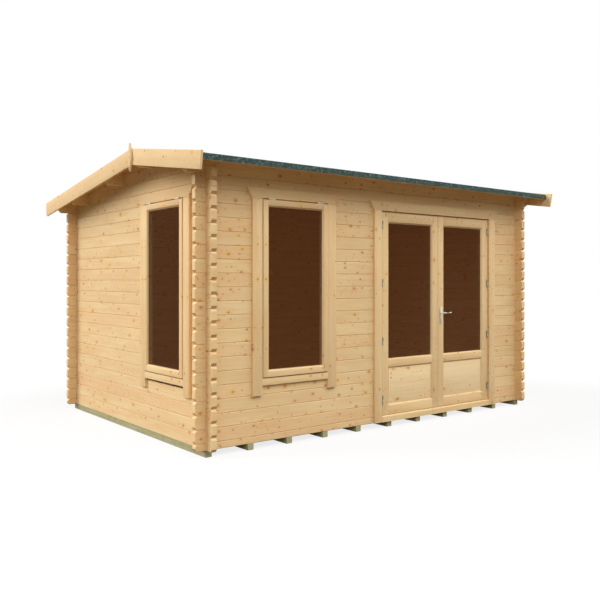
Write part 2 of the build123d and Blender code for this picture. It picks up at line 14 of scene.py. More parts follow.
import bpy
import numpy as np
from numpy.typing import NDArray
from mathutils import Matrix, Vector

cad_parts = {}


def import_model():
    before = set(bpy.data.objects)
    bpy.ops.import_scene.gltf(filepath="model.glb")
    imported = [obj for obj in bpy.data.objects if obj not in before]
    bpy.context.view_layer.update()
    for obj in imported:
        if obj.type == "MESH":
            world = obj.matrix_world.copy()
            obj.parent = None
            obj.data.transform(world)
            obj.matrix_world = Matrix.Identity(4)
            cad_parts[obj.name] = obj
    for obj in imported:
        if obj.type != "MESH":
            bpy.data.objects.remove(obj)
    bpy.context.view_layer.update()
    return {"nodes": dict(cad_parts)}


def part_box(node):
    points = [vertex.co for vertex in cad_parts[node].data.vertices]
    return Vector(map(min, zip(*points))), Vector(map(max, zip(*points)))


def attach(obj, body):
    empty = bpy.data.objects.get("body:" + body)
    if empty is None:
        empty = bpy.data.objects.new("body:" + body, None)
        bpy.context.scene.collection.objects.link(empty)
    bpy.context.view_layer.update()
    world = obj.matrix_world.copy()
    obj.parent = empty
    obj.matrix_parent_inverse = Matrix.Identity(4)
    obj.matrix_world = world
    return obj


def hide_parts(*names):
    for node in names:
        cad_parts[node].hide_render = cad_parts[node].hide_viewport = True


Points = NDArray[np.float64]
Outline = list[tuple[float, float]]
Profile = tuple[tuple[float, float], ...]
Socket = bpy.types.NodeSocket
ROUND = np.linspace(0, math.tau, 20, endpoint=False)  # the angles of a round section's points
log = logging.getLogger("log_cabin")


# ---------------------------------------------------------------- finishes
def linear(hex_colour: str) -> tuple[float, float, float, float]:
    """Turns an sRGB hex colour into linear red, green, blue and an alpha of one.

    Args:
        hex_colour: A colour such as "#f0d09e".

    Returns:
        The colour as a shader socket takes it.
    """
    srgb = np.array([int(hex_colour[k : k + 2], 16) for k in (1, 3, 5)]) / 255
    rgb = np.where(srgb <= 0.04045, srgb / 12.92, ((srgb + 0.055) / 1.055) ** 2.4)
    return (*rgb.tolist(), 1.0)


def add_node(
    tree: bpy.types.NodeTree, kind: str, inputs: dict | None = None, **settings: str
) -> bpy.types.bpy_prop_collection:
    """Adds one shader node.

    Args:
        tree: The tree that gets it.
        kind: The node's type, without its ShaderNode prefix.
        inputs: Values or sockets for its inputs, by name or number.
        settings: The node's own properties.

    Returns:
        The node's outputs.
    """
    node = tree.nodes.new("ShaderNode" + kind)
    for name, value in settings.items():
        setattr(node, name, value)
    for key, value in (inputs or {}).items():
        if isinstance(value, Socket):
            tree.links.new(value, node.inputs[key])
        else:
            node.inputs[key].default_value = value
    return node.outputs


def bare_material(name: str) -> tuple[bpy.types.Material, bpy.types.NodeTree, bpy.types.Node]:
    """Makes a material with one Principled shader.

    Args:
        name: The finish's name.

    Returns:
        The material, its node tree and its shader.
    """
    material = bpy.data.materials.new(name)
    material.use_nodes = True
    tree = material.node_tree
    return material, tree, tree.nodes["Principled BSDF"]


class Run(Enum):
    """The way that a timber's fibres run."""

    ALONG_FRONT = (0, 2, 1)
    FRONT_TO_BACK = (1, 2, 0)
    UPRIGHT = (2, 0, 1)


@dataclass(frozen=True)
class BoardGrain:
    """Fibre directions that a built board carries in its mesh."""

    def sockets(self, tree: bpy.types.NodeTree) -> tuple[Socket, Socket, Socket | None, Socket | None]:
        """Reads the board's own along, across and through, in metres, and its number.

        Args:
            tree: The material's tree.

        Returns:
            The grain vector, the board's number, and nothing for sawn ends or painted shade.
        """
        grain = add_node(tree, "Attribute", attribute_name="grain")["Vector"]
        board = add_node(tree, "Attribute", attribute_name="board")["Fac"]
        return grain, board, None, None


@dataclass(frozen=True)
class CourseGrain:
    """Fibre directions of a stack of logs, or of solid timbers side by side, by their place."""

    run: Run
    first_joint: float  # where a joint between two timbers lies, across the run
    cover: float  # from one joint to the next
    middle: float  # of the timbers, through their thickness
    series: float  # sets one wall's logs apart from another's
    joint_edges: tuple[float, float] = (0.0065, 0.0015)  # from a joint to where its painted shade starts and is full
    joint_shade: float = 0.35

    def sockets(self, tree: bpy.types.NodeTree) -> tuple[Socket, Socket, Socket | None, Socket | None]:
        """Splits the place across the run into a timber's number and the place within it.

        Args:
            tree: The material's tree.

        Returns:
            The grain vector, the timber's number, how far a face looks along the fibres, which
            is 1 on a sawn end, and how much painted shade a place takes, along a joint and on a sawn end's
            faces that turn downwards.
        """
        along, across, through = self.run.value
        half = self.cover / 2
        spot = add_node(tree, "SeparateXYZ", {0: add_node(tree, "TexCoord")["Object"]})
        raised = add_node(tree, "Math", {0: spot[across], 1: self.first_joint}, operation="SUBTRACT")[0]
        course = add_node(tree, "Math", {0: raised, 1: self.cover}, operation="DIVIDE")[0]
        number = add_node(tree, "Math", {0: course}, operation="FLOOR")[0]
        part = add_node(tree, "Math", {0: course}, operation="FRACT")[0]
        height = add_node(tree, "Math", {0: part, 1: self.cover, 2: -half}, operation="MULTIPLY_ADD")[0]
        depth = add_node(tree, "Math", {0: spot[through], 1: self.middle}, operation="SUBTRACT")[0]
        grain = add_node(tree, "CombineXYZ", {0: spot[along], 1: height, 2: depth})[0]
        board = add_node(tree, "Math", {0: number, 1: 0.613, 2: self.series}, operation="MULTIPLY_ADD")[0]
        facing = add_node(tree, "SeparateXYZ", {0: add_node(tree, "NewGeometry")["True Normal"]})
        sawn = add_node(tree, "Math", {0: facing[along]}, operation="ABSOLUTE")[0]
        aside = add_node(tree, "Math", {0: height}, operation="ABSOLUTE")[0]
        # painted shade along each joint between timbers
        start, full = self.joint_edges
        near = {"Value": aside, "From Min": half - start, "From Max": half - full, "To Max": self.joint_shade}
        joint = add_node(tree, "MapRange", near)[0]
        # painted shade: faces of a sawn end that turn downwards are darkened as if in shadow
        under = add_node(tree, "MapRange", {"Value": facing[2], "From Min": -0.25, "From Max": -0.45})[0]
        under = add_node(tree, "Math", {0: under, 1: sawn}, operation="MULTIPLY")[0]
        shaded = add_node(tree, "Math", {0: joint, 1: under}, operation="MAXIMUM")[0]
        return grain, board, sawn, shaded


@dataclass(frozen=True)
class PlanedSpruce:
    """Slow-grown spruce, planed and left bare: creamy, matt, faintly streaked, with soft orange knots.

    Rings are shells round a pith behind the face, so faces show long arches and sawn ends
    show curved rings. Knots are metric spots scattered along the fibres, some in a stain of
    yellow resin.
    """

    name: str
    pale: str = "#f3d6a3"
    honey: str = "#ecc894"
    blush: str = "#eec391"
    rosiness: float = 0.6
    resin: str = "#efc678"
    latewood: str = "#dfb077"
    ring_spacing: float = 0.0065
    streak_width: float = 0.020  # wide enough to show from a few metres off
    knot_cell: tuple[float, float] = (0.165, 0.043)  # along and across the fibres
    knot_share: float = 0.28  # of the cells
    knot_sizes: tuple[float, float] = (0.005, 0.0135)  # smallest and largest radius
    pin_cell: tuple[float, float] = (0.060, 0.030)
    pin_sizes: tuple[float, float] = (0.002, 0.006)
    pin: str = "#d8905c"
    halo: str = "#e3a576"
    heart: str = "#ca7f50"
    dark_heart: str = "#a0523a"
    # the brown of the painted shade along joints and on the downward faces of sawn ends
    painted_shade: str = "#9c6a38"

    def material(self, source: BoardGrain | CourseGrain) -> bpy.types.Material:
        """Builds the timber for one way of laying the fibres.

        Args:
            source: Where the fibres' directions come from.

        Returns:
            The material.
        """
        material, tree, shader = bare_material(self.name)
        grain, board, sawn, painted_shade = source.sockets(tree)
        luck = add_node(tree, "TexWhiteNoise", {"W": board}, noise_dimensions="1D")["Color"]
        chance = add_node(tree, "SeparateColor", {0: luck})
        moved = {0: luck, 1: (7.3, 3.1, 5.7), 2: grain}
        place = add_node(tree, "VectorMath", moved, operation="MULTIPLY_ADD")[0]
        noises = {}
        for label, along, across, detail in (
            ("streak", 1.0, 1 / self.streak_width, 3.0),
            ("fibre", 9.0, 420.0, 2.0),
            ("cloud", 1.7, 9.0, 2.0),
            ("flush", 0.9, 14.0, 1.0),
        ):
            stretch = {0: place, 1: (along, across, across)}
            at = add_node(tree, "VectorMath", stretch, operation="MULTIPLY")[0]
            noises[label] = add_node(tree, "TexNoise", {"Vector": at, "Scale": 1.0, "Detail": detail})[0]
        ring = self.rings(tree, grain, chance, place)
        core, halo, stain, deep = self.knots(tree, place, sawn)
        pins = self.pins(tree, place, chance[1])

        rosy = add_node(tree, "MapRange", {"Value": chance[0], "From Min": 0.62, "To Max": 0.8})[0]
        rosy = add_node(tree, "Math", {0: rosy, 1: noises["flush"]}, operation="ADD")[0]
        layers = []
        for value, start, end, most, tint in (
            (noises["cloud"], 0.35, 0.68, 1.0, self.honey),
            (rosy, 0.5, 1.15, self.rosiness, self.blush),
            (noises["streak"], 0.5, 0.8, 0.34, self.latewood),
            (ring, 0.0, 1.0, 0.15, self.latewood),
        ):
            amount = {"Value": value, "From Min": start, "From Max": end, "To Max": most}
            layers.append((add_node(tree, "MapRange", amount)[0], linear(tint)))
        heart = {0: deep, 6: linear(self.heart), 7: linear(self.dark_heart)}
        heart = add_node(tree, "Mix", heart, data_type="RGBA")[2]
        layers += [(stain, linear(self.resin)), (pins, linear(self.pin))]
        layers += [(halo, linear(self.halo)), (core, heart)]
        # painted shade, up to half-way to brown, along joints and on downward faces of sawn ends
        if painted_shade is not None:
            amount = add_node(tree, "MapRange", {"Value": painted_shade, "To Max": 0.5})[0]
            layers.append((amount, linear(self.painted_shade)))
        colour = linear(self.pale)
        for amount, tint in layers:
            colour = add_node(tree, "Mix", {0: amount, 6: colour, 7: tint}, data_type="RGBA")[2]
        tone = add_node(tree, "MapRange", {"Value": chance[2], "To Min": 0.975, "To Max": 1.02})[0]
        fleck = {"Value": noises["fibre"], "From Min": 0.3, "From Max": 0.7, "To Min": 0.98, "To Max": 1.015}
        fleck = add_node(tree, "MapRange", fleck)[0]
        shade = add_node(tree, "Math", {0: tone, 1: fleck}, operation="MULTIPLY")[0]
        colour = add_node(tree, "VectorMath", {0: colour, "Scale": shade}, operation="SCALE")[0]
        tree.links.new(colour, shader.inputs["Base Color"])

        shader.inputs["Specular IOR Level"].default_value = 0.14
        rough = add_node(tree, "MapRange", {"Value": ring, "To Min": 0.68, "To Max": 0.56})[0]
        tree.links.new(rough, shader.inputs["Roughness"])
        relief = add_node(tree, "Math", {0: noises["fibre"], 1: 0.6, 2: ring}, operation="MULTIPLY_ADD")[0]
        relief = add_node(tree, "Math", {0: core, 1: 0.8, 2: relief}, operation="MULTIPLY_ADD")[0]
        bump = add_node(tree, "Bump", {"Height": relief, "Strength": 0.3, "Distance": 0.0005})
        tree.links.new(bump[0], shader.inputs["Normal"])
        return material

    def rings(
        self, tree: bpy.types.NodeTree, grain: Socket, chance: bpy.types.bpy_prop_collection, place: Socket
    ) -> Socket:
        """Latewood bands: a sine of the distance to the pith, which wavers along the fibres.

        Args:
            tree: The material's tree.
            grain: Along, across and through the timber.
            chance: Three random numbers of the timber.
            place: The grain vector moved to the timber's own part of the noise.

        Returns:
            How much latewood shows, from 0 to 1.
        """
        side = add_node(tree, "MapRange", {"Value": chance[1], "To Min": -0.05, "To Max": 0.05})[0]
        behind = add_node(tree, "MapRange", {"Value": chance[2], "To Min": 0.035, "To Max": 0.11})[0]
        pith = add_node(tree, "CombineXYZ", {0: 0.0, 1: side, 2: behind})[0]
        flat = add_node(tree, "VectorMath", {0: grain, 1: (0.0, 1.0, 1.0)}, operation="MULTIPLY")[0]
        offset = add_node(tree, "VectorMath", {0: flat, 1: pith}, operation="SUBTRACT")[0]
        bend_at = add_node(tree, "VectorMath", {0: place, 1: (1.3, 5.0, 5.0)}, operation="MULTIPLY")[0]
        bend = add_node(tree, "TexNoise", {"Vector": bend_at, "Scale": 1.0, "Detail": 1.0})[0]
        radius = add_node(tree, "VectorMath", {0: offset}, operation="LENGTH")["Value"]
        radius = add_node(tree, "Math", {0: bend, 1: 0.05, 2: radius}, operation="MULTIPLY_ADD")[0]
        turn = add_node(tree, "Math", {0: radius, 1: math.tau / self.ring_spacing}, operation="MULTIPLY")[0]
        wave = add_node(tree, "Math", {0: turn}, operation="SINE")[0]
        crest = {"Value": wave, "From Min": -0.1, "From Max": 1.0}
        return add_node(tree, "MapRange", crest, interpolation_type="SMOOTHSTEP")[0]

    def spots(
        self, tree: bpy.types.NodeTree, place: Socket, cell: tuple[float, float]
    ) -> tuple[Socket, bpy.types.bpy_prop_collection]:
        """Scatters one spot in each cell of a grid stretched along the fibres.

        Args:
            tree: The material's tree.
            place: The grain vector moved to the timber's own part of the noise.
            cell: The cell's length along the fibres and its width across them.

        Returns:
            How far a place is from its cell's spot, in cells, and the cell's three random numbers.
        """
        long, tall = cell
        at = add_node(tree, "VectorMath", {0: place, 1: (1 / long, 1 / tall, 0.0)}, operation="MULTIPLY")[0]
        spots = add_node(tree, "TexVoronoi", {"Vector": at, "Scale": 1.0}, voronoi_dimensions="2D")
        away = add_node(tree, "VectorMath", {0: at, 1: spots["Position"]}, operation="SUBTRACT")[0]
        return away, add_node(tree, "SeparateColor", {0: spots["Color"]})

    def spot_fade(
        self,
        tree: bpy.types.NodeTree,
        away: Socket,
        metric: tuple[float, float],
        radius: Socket,
        ratios: tuple[float, float],
        most: float,
    ) -> Socket:
        """Fades a spot out: smoothly from most to 0 as distance over radius runs between two ratios.

        Args:
            tree: The material's tree.
            away: How far a place is from its cell's spot, in cells.
            metric: What a cell counts along and across, in metres.
            radius: The spot's radius.
            ratios: Where the fade starts and ends.
            most: How much shows at the spot's middle.

        Returns:
            How much of the spot shows.
        """
        scaled = add_node(tree, "VectorMath", {0: away, 1: (*metric, 0.0)}, operation="MULTIPLY")[0]
        distance = add_node(tree, "VectorMath", {0: scaled}, operation="LENGTH")["Value"]
        ratio = add_node(tree, "Math", {0: distance, 1: radius}, operation="DIVIDE")[0]
        fade = {"Value": ratio, "From Min": ratios[0], "From Max": ratios[1], "To Min": most, "To Max": 0.0}
        return add_node(tree, "MapRange", fade, interpolation_type="SMOOTHSTEP")[0]

    def pins(self, tree: bpy.types.NodeTree, place: Socket, many: Socket) -> Socket:
        """Pin knots: small orange flecks, thick on some timbers and missing from most.

        Args:
            tree: The material's tree.
            place: The grain vector moved to the timber's own part of the noise.
            many: The timber's random number that says how many it has.

        Returns:
            How much of a fleck shows, from 0 to 1.
        """
        away, luck = self.spots(tree, place, self.pin_cell)
        long, tall = self.pin_cell
        least, most = self.pin_sizes
        radius = add_node(tree, "MapRange", {"Value": luck[0], "To Min": least, "To Max": most})[0]
        fleck = self.spot_fade(tree, away, (long * 0.6, tall), radius, (0.5, 1.6), 0.62)
        limit = {"Value": many, "From Min": 0.45, "From Max": 1.0, "To Min": 0.03, "To Max": 0.55}
        limit = add_node(tree, "MapRange", limit)[0]
        there = add_node(tree, "Math", {0: luck[1], 1: limit}, operation="LESS_THAN")[0]
        return add_node(tree, "Math", {0: fleck, 1: there}, operation="MULTIPLY")[0]

    def knots(
        self, tree: bpy.types.NodeTree, place: Socket, sawn: Socket | None
    ) -> tuple[Socket, Socket, Socket, Socket]:
        """Round knots: the distance to a cell's own point, over that cell's own radius.

        Args:
            tree: The material's tree.
            place: The grain vector moved to the timber's own part of the noise.
            sawn: 1 on sawn ends, which show no knots, or none where they aren't told apart.

        Returns:
            How much shows of a knot's core, of the darker fibres round it and of the resin
            stain past them, and how dark its core is.
        """
        away, luck = self.spots(tree, place, self.knot_cell)
        long, tall = self.knot_cell
        size = add_node(tree, "Math", {0: luck[0], 1: 1.8}, operation="POWER")[0]
        least, most = self.knot_sizes
        radius = add_node(tree, "Math", {0: size, 1: most - least, 2: least}, operation="MULTIPLY_ADD")[0]
        there = add_node(tree, "Math", {0: luck[1], 1: self.knot_share}, operation="LESS_THAN")[0]
        if sawn is not None:
            side = add_node(tree, "Math", {0: sawn, 1: 0.5}, operation="LESS_THAN")[0]
            there = add_node(tree, "Math", {0: there, 1: side}, operation="MULTIPLY")[0]
        resinous = add_node(tree, "Math", {0: luck[1], 1: self.knot_share * 0.3}, operation="LESS_THAN")[0]
        layers = []
        for flatten, ratios, most, mask in (
            (0.85, (0.35, 1.4), 0.7, there),  # the core
            (0.7, (0.7, 2.3), 0.5, there),  # the fibres round it
            (0.4, (0.8, 4.4), 0.55, resinous),  # the stain
        ):
            layer = self.spot_fade(tree, away, (long * flatten, tall), radius, ratios, most)
            layers.append(add_node(tree, "Math", {0: layer, 1: mask}, operation="MULTIPLY")[0])
        deep = add_node(tree, "Math", {0: luck[2], 1: 4.0}, operation="POWER")[0]
        return (*layers, deep)


@dataclass(frozen=True)
class TreatedTimber:
    """Sawn bearers, pressure treated: grey-green, dull, with coarse saw-cut streaks along them."""

    name: str = "pressure_treated_pine"
    pale: str = "#c9c29c"
    streaked: str = "#978f63"
    stained: str = "#8a9468"

    def material(self) -> bpy.types.Material:
        """Builds the timber, with its streaks along Y.

        Returns:
            The material.
        """
        material, tree, shader = bare_material(self.name)
        spot = add_node(tree, "TexCoord")["Object"]
        along = add_node(tree, "VectorMath", {0: spot, 1: (90.0, 3.0, 90.0)}, operation="MULTIPLY")[0]
        streak = add_node(tree, "TexNoise", {"Vector": along, "Scale": 1.0, "Detail": 4.0})[0]
        stain = add_node(tree, "TexNoise", {"Vector": spot, "Scale": 14.0, "Detail": 3.0})[0]
        colour = {0: streak, 6: linear(self.pale), 7: linear(self.streaked)}
        colour = add_node(tree, "Mix", colour, data_type="RGBA")[2]
        amount = {"Value": stain, "From Min": 0.45, "From Max": 0.75, "To Max": 0.6}
        amount = add_node(tree, "MapRange", amount)[0]
        colour = add_node(tree, "Mix", {0: amount, 6: colour, 7: linear(self.stained)}, data_type="RGBA")[2]
        tree.links.new(colour, shader.inputs["Base Color"])
        shader.inputs["Roughness"].default_value = 0.85
        shader.inputs["Specular IOR Level"].default_value = 0.15
        bump = add_node(tree, "Bump", {"Height": streak, "Strength": 0.5, "Distance": 0.0012})
        tree.links.new(bump[0], shader.inputs["Normal"])
        return material


@dataclass(frozen=True)
class MineralFelt:
    """Bitumen felt with crushed green slate: dark teal, gritty, and quite dull.

    The grit is 1 to 2 mm on the real sheet. It is drawn as clumps of about 9 mm, which show.
    """

    name: str = "green_mineral_felt"
    clump: float = 0.009
    dark: str = "#2f403d"
    light: str = "#4b5f5b"
    speckle: float = 0.4  # how much a pale or a dark clump stands out

    def material(self) -> bpy.types.Material:
        """Builds the felt, with a random tone for each clump of grit.

        Returns:
            The material.
        """
        material, tree, shader = bare_material(self.name)
        spot = add_node(tree, "TexCoord")["Object"]
        grit = add_node(tree, "TexVoronoi", {"Vector": spot, "Scale": 1 / self.clump})
        luck = add_node(tree, "SeparateColor", {0: grit["Color"]})[0]
        drift = add_node(tree, "TexNoise", {"Vector": spot, "Scale": 22.0, "Detail": 3.0})[0]
        colour = {0: drift, 6: linear(self.dark), 7: linear(self.light)}
        colour = add_node(tree, "Mix", colour, data_type="RGBA")[2]
        for low, high, clump in ((0.76, 0.84, "#8fa39d"), (0.3, 0.2, "#222f2c")):
            amount = {"Value": luck, "From Min": low, "From Max": high, "To Max": self.speckle}
            amount = add_node(tree, "MapRange", amount)[0]
            colour = add_node(tree, "Mix", {0: amount, 6: colour, 7: linear(clump)}, data_type="RGBA")[2]
        tree.links.new(colour, shader.inputs["Base Color"])
        shader.inputs["Roughness"].default_value = 0.9
        shader.inputs["Specular IOR Level"].default_value = 0.2
        bump = add_node(tree, "Bump", {"Height": luck, "Strength": 0.6, "Distance": 0.0012})
        tree.links.new(bump[0], shader.inputs["Normal"])
        return material


@dataclass(frozen=True)
class SatinMetal:
    """Brushed metal under a satin finish: soft highlights with faint level lines."""

    name: str
    tone: str = "#a6a397"
    roughness: float = 0.4

    def material(self) -> bpy.types.Material:
        """Builds the metal, with its brush lines level.

        Returns:
            The material.
        """
        material, tree, shader = bare_material(self.name)
        spot = add_node(tree, "TexCoord")["Object"]
        lines = add_node(tree, "VectorMath", {0: spot, 1: (40.0, 40.0, 1500.0)}, operation="MULTIPLY")[0]
        brush = add_node(tree, "TexNoise", {"Vector": lines, "Scale": 1.0, "Detail": 2.0})[0]
        spread = {"Value": brush, "To Min": self.roughness - 0.08, "To Max": self.roughness + 0.08}
        rough = add_node(tree, "MapRange", spread)[0]
        tree.links.new(rough, shader.inputs["Roughness"])
        shader.inputs["Base Color"].default_value = linear(self.tone)
        shader.inputs["Metallic"].default_value = 1.0
        bump = add_node(tree, "Bump", {"Height": brush, "Strength": 0.1, "Distance": 0.0003})
        tree.links.new(bump[0], shader.inputs["Normal"])
        return material


@dataclass(frozen=True)
class ClearPane:
    """Float glass in front of an unlit room: it lets through a dim view, veiled by a brown of painted shade
    that stands in for the room's darkness, and hardly mirrors.
    """

    name: str = "float_glass"
    # the brown is painted shade, standing in for the dim room behind the pane
    tint: str = "#6f4325"
    veil: float = 0.38  # share of the view that each face hides behind its painted brown

    def material(self) -> bpy.types.Material:
        """Builds the glass.

        Returns:
            The material.
        """
        material, tree, shader = bare_material(self.name)
        spot = add_node(tree, "TexCoord")["Object"]
        haze = add_node(tree, "TexNoise", {"Vector": spot, "Scale": 3.0, "Detail": 2.0})[0]
        rough = add_node(tree, "MapRange", {"Value": haze, "To Min": 0.03, "To Max": 0.07})[0]
        tree.links.new(rough, shader.inputs["Roughness"])
        shader.inputs["Base Color"].default_value = linear(self.tint)
        shader.inputs["Alpha"].default_value = self.veil
        shader.inputs["IOR"].default_value = 1.08
        return material


class Slot(Enum):
    """The record's material slots, handed to the pieces here but not applied."""

    PLANED = "planed_spruce"
    JOINERY = "joinery_spruce"
    FELT = "green_mineral_felt"
    STEEL = "satin_steel"


# ---------------------------------------------------------------- boards and bars
@dataclass(frozen=True)
class WallFace:
    """A flat face to build on: level and upright distances on it, and distances out of it."""

    origin: tuple[float, float, float]
    level: tuple[float, float, float]
    outward: tuple[float, float, float]

    def at(self, level: float | Points, upright: float | Points, out: float | Points) -> Points:
        """Places points: origin + level times the level way + upright times Z + out times the outward way.

        Args:
            level: Distances along the face, level.
            upright: Distances up it.
            out: Distances out of it.

        Returns:
            Places, with the three distances' common shape by three.
        """
        level, upright, out = np.broadcast_arrays(level, upright, out)
        return (
            np.array(self.origin)
            + level[..., None] * np.array(self.level)
            + upright[..., None] * np.array((0.0, 0.0, 1.0))
            + out[..., None] * np.array(self.outward)
        )


@dataclass
class Assembly:
    """Boards and bars gathered into one piece, each with its own fibres and number."""

    name: str
    points: list[Points] = field(default_factory=list)
    faces: list[list[int]] = field(default_factory=list)
    grain: list[Points] = field(default_factory=list)
    board: list[Points] = field(default_factory=list)
    count: int = 0

    def solid(self, rings: Points, grain: Points) -> None:
        """Adds a closed solid: neighbouring rings of points joined by quads, and a cap at each end.

        Its volume, a sum of triple products over its faces, tells whether its faces point
        outwards, and they are turned round where they don't.

        Args:
            rings: Places, as rings by points by three.
            grain: Along, across and through the timber at each place.
        """
        number, size = rings.shape[:2]
        ring, spot = np.meshgrid(np.arange(number - 1), np.arange(size), indexing="ij")
        after = (spot + 1) % size
        here, ahead = ring * size, (ring + 1) * size
        quads = np.stack([here + spot, here + after, ahead + after, ahead + spot], -1).reshape(-1, 4)
        caps = [np.arange(size)[::-1], (number - 1) * size + np.arange(size)]
        flat = rings.reshape(-1, 3)
        centred = flat - flat.mean(0)
        fans = [np.stack([np.full(size - 2, cap[0]), cap[1:-1], cap[2:]], -1) for cap in caps]
        triangles = np.concatenate([quads[:, [0, 1, 2]], quads[:, [0, 2, 3]], *fans])
        a, b, c = (centred[triangles[:, k]] for k in range(3))
        volume = np.einsum("ij,ij->", a, np.cross(b, c))
        start = sum(len(part) for part in self.points)
        faces = [*quads.tolist(), *(cap.tolist() for cap in caps)]
        self.faces += [[start + k for k in (face if volume > 0 else face[::-1])] for face in faces]
        self.points.append(flat)
        self.grain.append(grain.reshape(-1, 3))
        board = self.count * 0.731 + len(self.name) * 3.17  # sets each board of each piece apart
        self.board.append(np.full(len(flat), board))
        self.count += 1

    def board_on(
        self,
        face: WallFace,
        outline: Outline,
        low: float,
        high: float,
        fibres: tuple[float, float] = (0.0, 1.0),
        ease: float = 0.0016,
    ) -> None:
        """Adds a flat board with eased edges.

        The outline moved inwards by an inset, at a height out of the face: inset and height
        run round a quarter circle at the back edge and at the front edge. A corner moves
        along (n1 + n2) / (1 + n1 . n2), where n1 and n2 are its two sides' inward normals.

        Args:
            face: The face that the board lies on.
            outline: Its corners, as level and upright distances.
            low: Its back, out of the face.
            high: Its front, out of the face.
            fibres: The way its fibres run on the face.
            ease: Radius of its edges.
        """
        corners = np.array(outline, float)
        following = np.roll(corners, -1, 0)
        if np.sum(corners[:, 0] * following[:, 1] - corners[:, 1] * following[:, 0]) < 0:
            corners = corners[::-1]
        ahead = np.roll(corners, -1, 0) - corners
        ahead /= np.linalg.norm(ahead, axis=1, keepdims=True)
        normal = np.stack([-ahead[:, 1], ahead[:, 0]], -1)
        before = np.roll(normal, 1, 0)
        mitre = (normal + before) / (1 + np.sum(normal * before, 1, keepdims=True))
        turn = np.linspace(0, math.pi / 2, 3)
        inset = ease * (1 - np.sin(turn))
        rise = ease * (1 - np.cos(turn))
        insets = np.concatenate([inset, inset[::-1]])
        heights = np.concatenate([low + rise, high - rise[::-1]])
        plan = corners + insets[:, None, None] * mitre
        out = np.broadcast_to(heights[:, None], plan.shape[:2])
        way = np.array(fibres) / np.linalg.norm(fibres)
        along = plan @ way
        across = (plan - corners.mean(0)) @ np.array((-way[1], way[0]))
        through = out - (low + high) / 2
        self.solid(face.at(plan[..., 0], plan[..., 1], out), np.stack([along, across, through], -1))

    def bar(self, sections: Points, profile: Points | None = None) -> None:
        """Adds a closed bar: one profile carried through a row of places.

        Args:
            sections: Places, as sections by profile points by three.
            profile: The profile's own across and through, for the fibres; its first section's if none.
        """
        steps = np.linalg.norm(np.diff(sections.mean(1), axis=0), axis=1)
        along = np.concatenate([[0.0], np.cumsum(steps)])
        if profile is None:
            spread = sections[0] - sections[0].mean(0)
            profile = np.stack([np.linalg.norm(spread[:, :2], axis=1), spread[:, 2]], -1)
        grain = np.concatenate(
            [
                np.broadcast_to(along[:, None, None], (*sections.shape[:2], 1)),
                np.broadcast_to(profile[None], (len(sections), *profile.shape)),
            ],
            -1,
        )
        self.solid(sections, grain)

    def bar_along_x(self, ends: tuple[float, float], section: Points) -> None:
        """Adds a straight bar along X.

        Args:
            ends: Where it starts and stops.
            section: Its corners, as Y and Z.
        """
        rings = np.empty((2, len(section), 3))
        rings[..., 0] = np.array(ends)[:, None]
        rings[..., 1:] = section
        self.bar(rings, section - section.mean(0))

    def bead(self, face: WallFace, opening: Outline, bevel: float, low: float, high: float) -> None:
        """Adds a mitred bead round the inside of a rectangular opening, with its front edge bevelled.

        Its profile, as inset and height, is (0, low), (bevel, low), (bevel, high - bevel), (0, high).
        Each side runs between the two mitred corners of that profile.

        Args:
            face: The face that it lies on.
            opening: The rectangle that it lines, on the bead's outer side.
            bevel: Width of the bevel, and of the bead.
            low: Its back, out of the face.
            high: Its front, out of the face.
        """
        corners = np.array(opening)
        inward = np.array([(1, 1), (-1, 1), (-1, -1), (1, -1)])
        inset = np.array([0.0, bevel, bevel, 0.0])
        height = np.array([low, low, high - bevel, high])
        for side in range(4):
            ends = [side, (side + 1) % 4]
            plan = corners[ends][:, None] + inset[None, :, None] * inward[ends][:, None]
            self.bar(face.at(plan[..., 0], plan[..., 1], height[None]), np.stack([inset, height], -1))

    def turned(self, centre: Points, axis: Points, profile: Profile | Points) -> None:
        """Adds a turned bar: a circle of each radius at each station along the axis.

        Args:
            centre: Where station 0 is.
            axis: The way it runs.
            profile: Distances along the axis, each with the circle's radius there.
        """
        stations, radii = np.array(profile).T[..., None, None]
        axis = np.array(axis, float) / np.linalg.norm(axis)
        side = np.cross(axis, (0.0, 0.0, 1.0) if abs(axis[2]) < 0.9 else (1.0, 0.0, 0.0))
        side /= np.linalg.norm(side)
        circle = np.cos(ROUND)[:, None] * side + np.sin(ROUND)[:, None] * np.cross(axis, side)
        self.bar(centre + stations * axis + radii * circle)

    def piece(self, material: bpy.types.Material, slot: Slot, body: str, *nodes: str) -> None:
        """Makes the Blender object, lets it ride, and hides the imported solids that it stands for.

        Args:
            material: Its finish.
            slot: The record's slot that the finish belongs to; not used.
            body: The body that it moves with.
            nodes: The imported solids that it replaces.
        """
        mesh = bpy.data.meshes.new(self.name)
        mesh.from_pydata(np.concatenate(self.points), [], self.faces)
        grain = mesh.attributes.new("grain", "FLOAT_VECTOR", "POINT")
        grain.data.foreach_set("vector", np.concatenate(self.grain).astype(np.float32).ravel())
        board = mesh.attributes.new("board", "FLOAT", "POINT")
        board.data.foreach_set("value", np.concatenate(self.board).astype(np.float32))
        mesh.polygons.foreach_set("use_smooth", np.ones(len(mesh.polygons), bool))
        mesh.set_sharp_from_angle(angle=math.radians(31))  # edges that turn less stay smooth
        mesh.materials.append(material)
        obj = bpy.data.objects.new(self.name, mesh)
        bpy.context.scene.collection.objects.link(obj)
        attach(obj, body)
        if nodes:
            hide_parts(*nodes)
        faces = len(mesh.polygons)
        log.info("%s: %d boards or bars, %d faces, rides on %s", self.name, self.count, faces, body)


def rectangle(left: float, right: float, foot: float, head: float) -> Outline:
    """Corners of a rectangle, anticlockwise, whichever of its two sides is named first."""
    left, right = sorted((left, right))
    return [(left, foot), (right, foot), (right, head), (left, head)]


